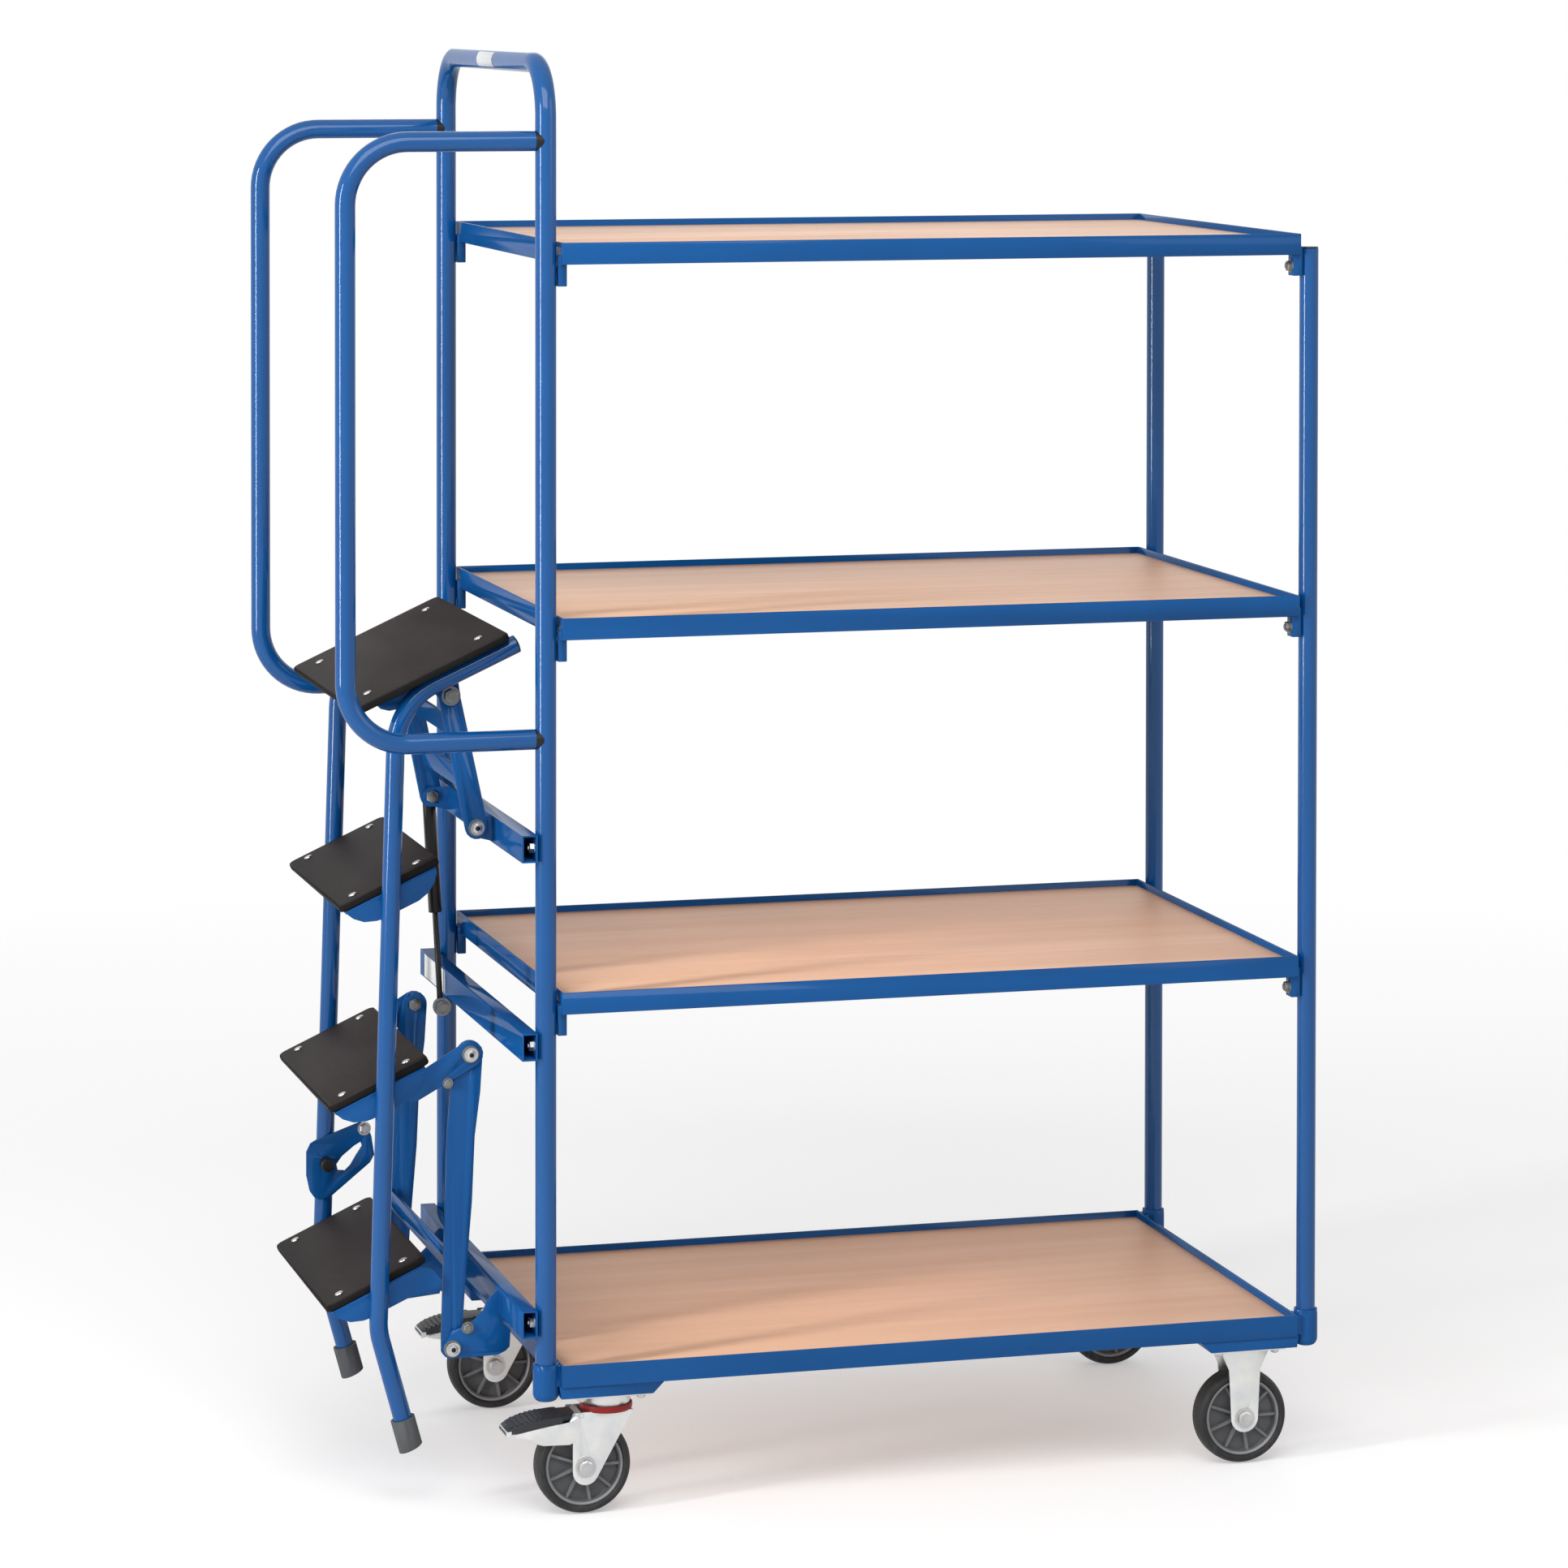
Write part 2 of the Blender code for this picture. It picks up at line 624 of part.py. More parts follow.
def build_board(name, rim):
    """A board that lies on the flanges of its frame."""
    half = FRAME_WIDTH / 2 - ANGLE_THICK - BOARD_PLAY
    low = rim - ANGLE_HEIGHT + ANGLE_THICK + CLEARANCE
    start = FRAME_X + ANGLE_THICK + BOARD_PLAY
    end = FRAME_END_X - ANGLE_THICK - BOARD_PLAY
    part(name, box("board", (start, -half, low), (end, half, low + BOARD_THICK)), "board")


def build_shelf_frame(name, rim):
    """A shelf frame with a lug at each corner that reaches to its post."""
    blank, cuts = angle_ring(rim)
    bottom = rim - ANGLE_HEIGHT
    low = bottom - CORNER_LUG_HANG
    high = bottom + CORNER_LUG_TOP
    lugs = []
    for post_x, rail_x, inward in (
        (LADDER_POST_X + ARCH_RADIUS + CLEARANCE, FRAME_X, 1),
        (FAR_POST_X - FAR_POST_RADIUS - CLEARANCE, FRAME_END_X, -1),
    ):
        outline = [
            (post_x, low),
            (rail_x + inward * CORNER_LUG_REACH, low),
            (rail_x + inward * CORNER_LUG_REACH, bottom + WELD),
            (rail_x + inward * CORNER_LUG_BITE, bottom + WELD),
            (rail_x + inward * CORNER_LUG_BITE, high),
            (post_x, high),
        ]
        for side in (-1, 1):
            middle = side * POST_SPREAD
            lugs.append(plate("lug", outline, middle - CORNER_LUG_WIDTH / 2, middle + CORNER_LUG_WIDTH / 2))
    part(name, blank, "blue", cut=cuts, add=[group("lugs", lugs)])


def socket_blank(x, y, bottom, top, radius):
    """A socket with a rounded lower end, around a post's foot."""
    barrel = rod("socket", (x, y, bottom + SOCKET_ROUNDING), (x, y, top), radius)
    tip_top = bottom + SOCKET_ROUNDING + WELD
    tip = rod("tip", (x, y, bottom), (x, y, tip_top), radius - SOCKET_ROUNDING, radius)
    return barrel, tip


def build_deck_frame():
    """The deck frame: angle rails, four corner sockets for the posts and four pans for the castors."""
    blank, cuts = angle_ring(DECK_RIM)
    half = FRAME_WIDTH / 2
    pans, webs, barrels, tips, bores = [], [], [], [], []
    for side in (-1, 1):
        y = side * POST_SPREAD
        pan_y = sorted((side * (half - PAN_INSET), side * (half - PAN_WIDTH)))
        for start, inward in ((FRAME_X - PAN_INSET, 1), (FRAME_END_X + PAN_INSET, -1)):
            outline = [
                (start, DECK_RAIL_BOTTOM + WELD),
                (start + inward * PAN_INSET, CASTOR_HEIGHT),
                (start + inward * (PAN_LENGTH - PAN_CHAMFER), CASTOR_HEIGHT),
                (start + inward * PAN_LENGTH, DECK_RAIL_BOTTOM + WELD),
            ]
            pans.append(plate("pan", outline, *pan_y))
        web_y = (y - SOCKET_WEB_WIDTH / 2, y + SOCKET_WEB_WIDTH / 2)
        low = DECK_RAIL_BOTTOM + WELD
        high = DECK_RIM - WELD
        spans = ((LADDER_POST_X, FRAME_X + SOCKET_WEB_REACH), (FRAME_END_X - SOCKET_WEB_REACH, FAR_POST_X))
        webs += [box("web", (start, web_y[0], low), (stop, web_y[1], high)) for start, stop in spans]
        near = socket_blank(LADDER_POST_X, y, SOCKET_BOTTOM, DECK_RIM + SOCKET_RISE, SOCKET_RADIUS)
        away = socket_blank(FAR_POST_X, y, FAR_SOCKET_BOTTOM, DECK_RIM + FAR_SOCKET_RISE, FAR_SOCKET_RADIUS)
        barrels += [near[0], away[0]]
        tips += [near[1], away[1]]
        for x, bottom, radius in (
            (LADDER_POST_X, SOCKET_BOTTOM, ARCH_RADIUS),
            (FAR_POST_X, FAR_SOCKET_BOTTOM, FAR_POST_RADIUS),
        ):
            bore_radius = flat_radius(radius + CLEARANCE, ROUND_SIDES)
            bore_top = DECK_RIM + 2 * OVERRUN
            bores.append(rod("bore", (x, y, bottom + SOCKET_FLOOR), (x, y, bore_top), bore_radius))
    combine(blank, "DIFFERENCE", cuts)
    additions = [group("pans", pans), group("webs", webs), group("barrels", barrels), group("tips", tips)]
    part("deck_frame", blank, "blue", add=additions, cut=[group("bores", bores)])


def cross_bar(up):
    """A rectangular tube across the ladder-side posts, open at both ends. Returns the blank and its bore."""
    low, high = up - BAR_HEIGHT / 2, up + BAR_HEIGHT / 2
    blank = box("bar", (BAR_FAR_X, -BAR_HALF_LENGTH, low), (BAR_NEAR_X, BAR_HALF_LENGTH, high))
    bore = box(
        "hollow",
        (BAR_FAR_X + BAR_WALL, -BAR_HALF_LENGTH - OVERRUN, low + BAR_WALL),
        (BAR_NEAR_X - BAR_WALL, BAR_HALF_LENGTH + OVERRUN, high - BAR_WALL),
    )
    return blank, bore


def build_upper_bar():
    """The upper cross bar with the two lugs that the upper link turns on."""
    blank, bore = cross_bar(UPPER_BAR_UP)
    combine(blank, "DIFFERENCE", [bore])
    reach = BAR_LUG_SHARE * BAR_HEIGHT
    outline = arc(UPPER_FIXED, BAR_LUG_BOSS, 110, 250, 8)
    outline += [(BAR_FAR_X + WELD, UPPER_BAR_UP - reach), (BAR_FAR_X + WELD, UPPER_BAR_UP + reach)]
    lugs = [
        plate("lug", outline, side * BAR_LUG_INNER, side * BAR_LUG_OUTER, [(UPPER_FIXED, bolt_hole())])
        for side in (-1, 1)
    ]
    part("crossbar_upper", blank, "blue", add=[group("lugs", lugs)])


def build_middle_bar():
    """The middle cross bar with the gas spring's lug and its bolt."""
    blank, bore = cross_bar(MIDDLE_BAR_UP)
    combine(blank, "DIFFERENCE", [bore])
    eye_near = GAS_SPREAD - GAS_EYE_WIDTH / 2
    lug_far = eye_near - CLEARANCE
    lug_near = lug_far - GAS_LUG_THICK
    top = MIDDLE_BAR_UP - BAR_HEIGHT / 2 + WELD
    outline = arc(GAS_FIXED, GAS_LUG_RADIUS, 160, 380, 10)
    outline += [(BAR_NEAR_X - WELD, top), (BAR_FAR_X + WELD, top)]
    lug = plate("lug", outline, lug_near, lug_far)
    head_start, pin_end = lug_near - BOLT_HEAD_THICK, GAS_SPREAD + GAS_EYE_WIDTH / 2
    head = cross_rod("head", GAS_FIXED, head_start, lug_near + WELD, BOLT_HEAD_RADIUS, HEX_SIDES)
    pin = cross_rod("pin", GAS_FIXED, lug_far - WELD, pin_end, GAS_PIN_RADIUS)
    part("crossbar_middle", blank, "blue", add=[lug, head, pin])


def build_lower_bar():
    """The lower cross bar with the two bracket plates that the lower link turns on."""
    blank, bore = cross_bar(LOWER_BAR_UP)
    combine(blank, "DIFFERENCE", [bore])
    width = BAR_FAR_X - LOWER_FIXED[0]
    height = LOWER_BAR_UP + BAR_HEIGHT / 2 - LOWER_FIXED[1]

    def placed(shares):
        return [(LOWER_FIXED[0] + a * width, LOWER_FIXED[1] + b * height) for a, b in shares]

    top = placed(BRACKET_TOP_SHARES)
    bar_side = [
        (BAR_FAR_X + WELD, top[-1][1]),
        (BAR_FAR_X + WELD, LOWER_FIXED[1] + BRACKET_NECK_SHARE * height),
    ]
    outline = top + bar_side + placed(BRACKET_LOW_SHARES) + arc(LOWER_FIXED, BRACKET_BOSS, 270, 120, 8)
    plates = [
        plate("bracket", outline, side * CHEEK_INNER, side * CHEEK_OUTER, [(LOWER_FIXED, bolt_hole())])
        for side in (-1, 1)
    ]
    part("crossbar_lower", blank, "blue", add=[group("brackets", plates)])


# Pivot bolts


def bolt_hole():
    """The radius of a hole that a pivot bolt passes through and stays clear of."""
    return flat_radius(BOLT_RADIUS + TURNING_PLAY, ROUND_SIDES)


def build_bolt(name, place, side, inner, outer, head_thick, carrier=None):
    """A pivot bolt: head outside, nut inside, clear of the plates that it passes through."""
    head_start = outer + CLEARANCE
    nut_start = inner - CLEARANCE
    shank = cross_rod("shank", place, side * (nut_start - WELD), side * (head_start + WELD), BOLT_RADIUS)
    head = cross_rod(
        "head", place, side * head_start, side * (head_start + head_thick), BOLT_HEAD_RADIUS, HEX_SIDES
    )
    nut_end = nut_start - head_thick
    nut = cross_rod("nut", place, side * nut_end, side * nut_start, BOLT_HEAD_RADIUS, HEX_SIDES)
    part(name, shank, "steel", carrier, add=[head, nut], smooth=True)


# Ladder


def on_tread(middle, along, out):
    """A side-view point on a tread: this far up its slope and out of its top face."""
    return Vector(middle) + UP_THE_TILT * along + OUT_OF_TILT * out


def tread_middle(level):
    """The middle of a tread's top face. Level 0 is the lowest, 3 the top one."""
    if level == 3:
        start = ELBOW + OUT_OF_TILT * (LEG_RADIUS + CLEARANCE + TREAD_THICK)
        return start + UP_THE_TILT * (TOP_TREAD_DEPTH / 2 - TOP_TREAD_OVERHANG)
    up = FIRST_TREAD_UP + level * TREAD_PITCH
    on_leg = KNEE + LEG_LONG_LINE * ((up - KNEE[1]) / LEG_LONG_LINE[1])
    return on_leg - Vector((TREAD_SHIFTS[level], 0))


def build_leg(side, carrier):
    """A ladder leg: kinked above its foot and bent over under the top tread."""
    y = side * LEG_SPREAD
    bottom = FOOT + LEG_LOWER_LINE * (FOOT_CAP_FLOOR + CLEARANCE)
    corners = [(p[0], y, p[1]) for p in (bottom, KNEE, ELBOW, LEG_END)]
    part(
        f"ladder_leg_{side_name(side)}",
        tube("leg", filleted(corners, LEG_BEND), LEG_RADIUS), "blue", carrier,
        smooth=True,
    )


def build_foot(side, carrier):
    """A rubber cap over a leg's lower end, cut so that it stands flat when the ladder is down."""
    y = side * LEG_SPREAD
    low = FOOT - LEG_LOWER_LINE * FOOT_CAP_RADIUS
    high = FOOT + LEG_LOWER_LINE * FOOT_CAP_LENGTH
    cap = rod("cap", (low[0], y, low[1]), (high[0], y, high[1]), FOOT_CAP_RADIUS)
    floor = FOOT + LEG_LOWER_LINE * FOOT_CAP_FLOOR
    mouth = FOOT + LEG_LOWER_LINE * (FOOT_CAP_LENGTH + OVERRUN)
    bore = rod(
        "bore", (floor[0], y, floor[1]), (mouth[0], y, mouth[1]),
        flat_radius(LEG_RADIUS + CLEARANCE, ROUND_SIDES)
    )
    reach = 2 * FOOT_CAP_RADIUS
    below = box(
        "below", (FOOT[0] - reach, y - reach, FOOT[1] - reach), (FOOT[0] + reach, y + reach, FOOT[1]),
        LADDER_TILT, FOOT
    )
    part(f"foot_cap_{side_name(side)}", cap, "rubber", carrier, cut=[bore, below], smooth=True)


def build_tread(level, name, carrier):
    """A film-faced board with rounded corners, on the ladder's slope."""
    depth = TOP_TREAD_DEPTH if level == 3 else TREAD_DEPTH
    width = TOP_TREAD_WIDTH if level == 3 else TREAD_WIDTH
    deep, wide = depth / 2, width / 2
    corners = [(-deep, -wide), (deep, -wide), (deep, wide), (-deep, wide)]
    outline = []
    for index, corner in enumerate(corners):
        inset = (
            corner[0] - math.copysign(TREAD_CORNER, corner[0]),
            corner[1] - math.copysign(TREAD_CORNER, corner[1]),
        )
        outline += arc(inset, TREAD_CORNER, index * 90 - 180, index * 90 - 90, 4)
    made = plate("tread", outline, -TREAD_THICK / 2, TREAD_THICK / 2)
    lie_down = Matrix.Rotation(-math.pi / 2, 4, "X")
    middle = on_tread(tread_middle(level), 0, -TREAD_THICK / 2)
    place = Matrix.Translation((middle[0], 0, middle[1])) @ Matrix.Rotation(-LADDER_TILT, 4, "Y")
    made.data.transform(place @ lie_down)
    part(name, made, "tread", carrier)


def build_carrier(level, name, shares, drop, depth, carrier, add=()):
    """A pressed carrier under a tread: a pan with a cheek beside each leg."""
    middle = tread_middle(level)
    seat = -TREAD_THICK - CLEARANCE
    reach = depth * (shares[-1][0] - shares[0][0]) / 4
    centre = depth * (shares[-1][0] + shares[0][0]) / 4
    low = (middle[0] + centre - reach, -CHEEK_OUTER + WELD, middle[1] + seat - CARRIER_THICK)
    high = (middle[0] + centre + reach, CHEEK_OUTER - WELD, middle[1] + seat)
    pan = box("pan", low, high, LADDER_TILT, middle)
    top = seat - CARRIER_THICK / 2
    outline = [on_tread(middle, a * depth / 2, top + b * drop) for a, b in shares]
    cheeks = [plate("cheek", outline, side * CHEEK_INNER, side * CHEEK_OUTER) for side in (-1, 1)]
    part(name, pan, "blue", carrier, add=[group("cheeks", cheeks), *add])


def link_arms():
    """The two arms that reach from the second carrier to the lower link's moving pivot."""
    middle = tread_middle(1)
    root = on_tread(middle, ARM_ROOT_SHARE * TREAD_DEPTH, -ARM_ROOT_DROP)
    outline = bar_outline(root, ARM_ROOT_RADIUS, LOWER_MOVING, ARM_BOSS_RADIUS)
    return [
        plate(
            "arm", outline, side * (CHEEK_INNER + CLEARANCE), side * (CHEEK_OUTER - CLEARANCE),
            [(LOWER_MOVING, bolt_hole())]
        )
        for side in (-1, 1)
    ]


def stud_lugs():
    """The two lugs under the top carrier that hold the upper link's studs."""
    middle = tread_middle(3)
    drop = (Vector(UPPER_MOVING) - middle).dot(OUT_OF_TILT)
    along = (Vector(UPPER_MOVING) - middle).dot(UP_THE_TILT)
    top = -TREAD_THICK - CARRIER_THICK / 2
    outline = [on_tread(middle, along + STUD_LUG_FOOT, top), on_tread(middle, along - STUD_LUG_FOOT, top)]
    tilt = math.degrees(LADDER_TILT)
    outline += arc(on_tread(middle, along, drop), STUD_LUG_RADIUS, 180 + tilt, 360 + tilt, 8)
    lugs, heads = [], []
    for side in (-1, 1):
        lugs.append(plate("lug", outline, side * STUD_LUG_INNER, side * STUD_LUG_OUTER))
        heads.append(
            cross_rod(
                "stud", UPPER_MOVING,
                side * (STUD_LUG_OUTER - WELD), side * (STUD_LUG_OUTER + BOLT_HEAD_THICK),
                BOLT_HEAD_RADIUS, HEX_SIDES
            )
        )
    return [group("lugs", lugs), group("studs", heads)]


def build_latch_plate(carrier):
    """The hooked plate on the rear leg with its rubber-tipped pin."""
    left, low = behind(LATCH_BACK, LATCH_UP)

    def placed(shares):
        return [(left + a * LATCH_WIDTH, low + b * LATCH_HEIGHT) for a, b in shares]

    body = plate("latch", placed(LATCH_SHARES), CHEEK_INNER, CHEEK_OUTER)
    slot = plate("slot", placed(LATCH_SLOT_SHARES), CHEEK_INNER - OVERRUN, CHEEK_OUTER + OVERRUN)
    pin_place = placed([LATCH_PIN_SHARES])[0]
    pin = cross_rod("pin", pin_place, CHEEK_INNER + WELD, CHEEK_INNER - LATCH_PIN_LENGTH, LATCH_PIN_RADIUS)
    part("latch_plate", body, "blue", carrier, add=[pin], cut=[slot])


def build_ladder(carrier):
    """Every piece of the ladder."""
    for side in (-1, 1):
        build_leg(side, carrier)
        build_foot(side, carrier)
        build_bolt(
            f"link_bolt_{side_name(side)}",
            LOWER_MOVING, side, LOWER_LINK_INNER, CHEEK_OUTER, BOLT_HEAD_THICK,
            carrier
        )
    build_latch_plate(carrier)
    for level, name in enumerate(("tread_first", "tread_second", "tread_third", "tread_top")):
        build_tread(level, name, carrier)
    build_carrier(0, "carrier_first", NOSE_SHARES, CHEEK_DROP, TREAD_DEPTH, carrier)
    build_carrier(
        1, "carrier_second", CHEEK_SHARES, CHEEK_DROP, TREAD_DEPTH, carrier, add=[group("arms", link_arms())]
    )
    build_carrier(2, "carrier_third", CHEEK_SHARES, CHEEK_DROP, TREAD_DEPTH, carrier)
    build_carrier(
        3, "carrier_top", TOP_CHEEK_SHARES, TOP_CHEEK_DROP, TOP_TREAD_DEPTH, carrier, add=stud_lugs()
    )


# Links and gas spring


def build_lower_link(carrier):
    """Two flat plates with a cross brace, turning on the lower bracket."""
    along = LOWER_MOVING - LOWER_FIXED
    line = along.normalized()
    left = Vector((-line[1], line[0]))

    def edge(shares, direction):
        return [LOWER_FIXED + along * a + left * (direction * b * LOWER_LINK_BOSS) for a, b in shares]

    heading = math.degrees(math.atan2(along[1], along[0]))
    outline = arc(LOWER_FIXED, LOWER_LINK_TAIL, heading - 110, heading - 250, 8)
    outline += edge(LOWER_LINK_LEFT_SHARES, 1)
    outline += arc(LOWER_MOVING, LOWER_LINK_BOSS, heading + 90, heading - 90, 10)
    outline += edge(LOWER_LINK_RIGHT_SHARES, -1)
    holes = [(LOWER_FIXED, bolt_hole()), (LOWER_MOVING, bolt_hole())]
    plates = [
        plate("link", outline, side * LOWER_LINK_INNER, side * LOWER_LINK_OUTER, holes) for side in (-1, 1)
    ]
    middle = LOWER_FIXED + along * LOWER_BRACE_SHARE + left * (LOWER_LINK_TAIL + LOWER_BRACE_THICK / 2)
    reach = LOWER_LINK_INNER + WELD
    brace = box(
        "brace",
        (middle[0] - LOWER_BRACE_THICK / 2, -reach, middle[1] - LOWER_BRACE_HEIGHT / 2),
        (middle[0] + LOWER_BRACE_THICK / 2, reach, middle[1] + LOWER_BRACE_HEIGHT / 2),
    )
    part("lower_link_frame", brace, "blue", carrier, add=[group("links", plates)])


def build_upper_link(carrier):
    """Two flat bars with two cross flats, turning on the lugs of the upper cross bar."""
    along = UPPER_MOVING - UPPER_FIXED
    tilt = math.atan2(along[1], along[0])
    outline = bar_outline(UPPER_FIXED, UPPER_LINK_BOSS, UPPER_MOVING, STUD_LUG_RADIUS)
    holes = [(UPPER_FIXED, bolt_hole())]
    inner, outer = UPPER_LINK_INNER, UPPER_LINK_OUTER
    bars = [plate("bar", outline, side * inner, side * outer, holes) for side in (-1, 1)]
    reach = UPPER_LINK_INNER + WELD
    flats = []
    for share in CROSS_FLAT_SHARES:
        middle = UPPER_FIXED + along * share
        flats.append(
            box(
                "flat",
                (middle[0] - CROSS_FLAT_WIDTH / 2, -reach, middle[1] - CROSS_FLAT_THICK / 2),
                (middle[0] + CROSS_FLAT_WIDTH / 2, reach, middle[1] + CROSS_FLAT_THICK / 2),
                tilt, middle
            )
        )
    part("upper_link_frame", group("bars", bars), "blue", carrier, add=[group("flats", flats)])


def build_gas_spring(rod_carrier, cylinder_carrier):
    """The gas spring between the middle cross bar and the upper link."""
    near, far = GAS_SPREAD - GAS_EYE_WIDTH / 2, GAS_SPREAD + GAS_EYE_WIDTH / 2

    def on_line(distance):
        place = GAS_FIXED + GAS_LINE * distance
        return (place[0], GAS_SPREAD, place[1])

    eye = cross_rod("eye", GAS_FIXED, near, far, GAS_EYE_RADIUS)
    stem = rod(
        "stem", on_line(GAS_EYE_RADIUS - WELD), on_line(GAS_CYLINDER_START + GAS_ROD_LAP),
        GAS_ROD_RADIUS, sides=GAS_ROD_SIDES
    )
    hole = cross_rod(
        "hole", GAS_FIXED, near - OVERRUN, far + OVERRUN, flat_radius(GAS_PIN_RADIUS + CLEARANCE, ROUND_SIDES)
    )
    part("gas_rod", eye, "black", rod_carrier, add=[stem], cut=[hole], smooth=True)

    length = (GAS_MOVING - GAS_FIXED).length
    barrel_end = on_line(length - GAS_EYE_RADIUS + WELD)
    barrel = rod("barrel", on_line(GAS_CYLINDER_START), barrel_end, GAS_CYLINDER_RADIUS)
    top_eye = cross_rod("top_eye", GAS_MOVING, near, far, GAS_EYE_RADIUS)
    pin = cross_rod("pin", GAS_MOVING, near + WELD, UPPER_LINK_OUTER + CLEARANCE, GAS_PIN_RADIUS)
    bore = rod(
        "bore", on_line(GAS_CYLINDER_START - OVERRUN), on_line(GAS_CYLINDER_START + GAS_BORE_DEPTH),
        flat_radius(GAS_ROD_RADIUS + CLEARANCE, 12), sides=12
    )
    part("gas_cylinder", barrel, "black", cylinder_carrier, add=[top_eye, pin], cut=[bore], smooth=True)


# Castors


def build_wheel(name, x, side, carrier):
    """A wheel: tyre and ribbed rim on the axle's line."""
    y = side * CASTOR_SPREAD
    place = (x, y, WHEEL_RADIUS)
    outer = flat_radius(WHEEL_RADIUS, TYRE_SIDES)
    half, flat = TYRE_WIDTH / 2, TYRE_FLAT_SHARE * TYRE_WIDTH / 2
    tyre = [
        (outer, flat), (outer, -flat), (outer - TYRE_SHOULDER, -half), (TYRE_BORE, -half),
        (TYRE_BORE, half), (outer - TYRE_SHOULDER, half)
    ]
    part(f"tyre_{name}", turned("tyre", tyre, TYRE_SIDES, place), "tyre", carrier)

    rim_outer = TYRE_BORE * math.cos(math.pi / TYRE_SIDES) - CLEARANCE
    rim_inner = rim_outer - RIM_WALL
    bore = flat_radius(AXLE_RADIUS + TURNING_PLAY, RIM_SIDES)
    rim, web, hub = RIM_WIDTH / 2, WEB_THICK / 2, HUB_WIDTH / 2
    right = [
        (bore, hub), (HUB_RADIUS, hub), (HUB_RADIUS, web),
        (rim_inner, web), (rim_inner, rim), (rim_outer, rim)
    ]
    left = [(radius, -width) for radius, width in reversed(right)]
    blank = turned("rim", right + left, RIM_SIDES, place)
    ribs = []
    for index in range(RIB_COUNT):
        angle = 2 * math.pi * index / RIB_COUNT
        ribs.append(
            box(
                "rib",
                (x + HUB_RADIUS - WELD, y - RIB_WIDTH / 2, WHEEL_RADIUS - RIB_THICK / 2),
                (x + rim_inner + WELD, y + RIB_WIDTH / 2, WHEEL_RADIUS + RIB_THICK / 2),
                angle, (x, WHEEL_RADIUS)
            )
        )
    part(f"rim_{name}", blank, "rim", carrier, add=[group("ribs", ribs)])


def build_axle(name, x, side, carrier=None):
    """An axle bolt through a fork, with a head at each end."""
    y = side * CASTOR_SPREAD
    reach = FORK_GAP / 2 + FORK_PLATE + CLEARANCE
    shank_reach = reach + WELD
    line = Vector((x, WHEEL_RADIUS))
    shank = cross_rod("shank", line, y - shank_reach, y + shank_reach, AXLE_RADIUS)
    heads = []
    for end in (-1, 1):
        start, stop = y + end * reach, y + end * (reach + AXLE_HEAD_THICK)
        heads.append(cross_rod("head", line, start, stop, AXLE_HEAD_RADIUS, AXLE_HEAD_SIDES))
    part(name, shank, "steel", carrier, add=heads, smooth=True)


def fork_cheeks(x, side, outline, holes):
    """The two side plates of a fork, as one loose object."""
    y = side * CASTOR_SPREAD
    near, far = FORK_GAP / 2, FORK_GAP / 2 + FORK_PLATE
    cheeks = [plate("cheek", outline, y + end * near, y + end * far, holes) for end in (-1, 1)]
    return group("cheeks", cheeks)


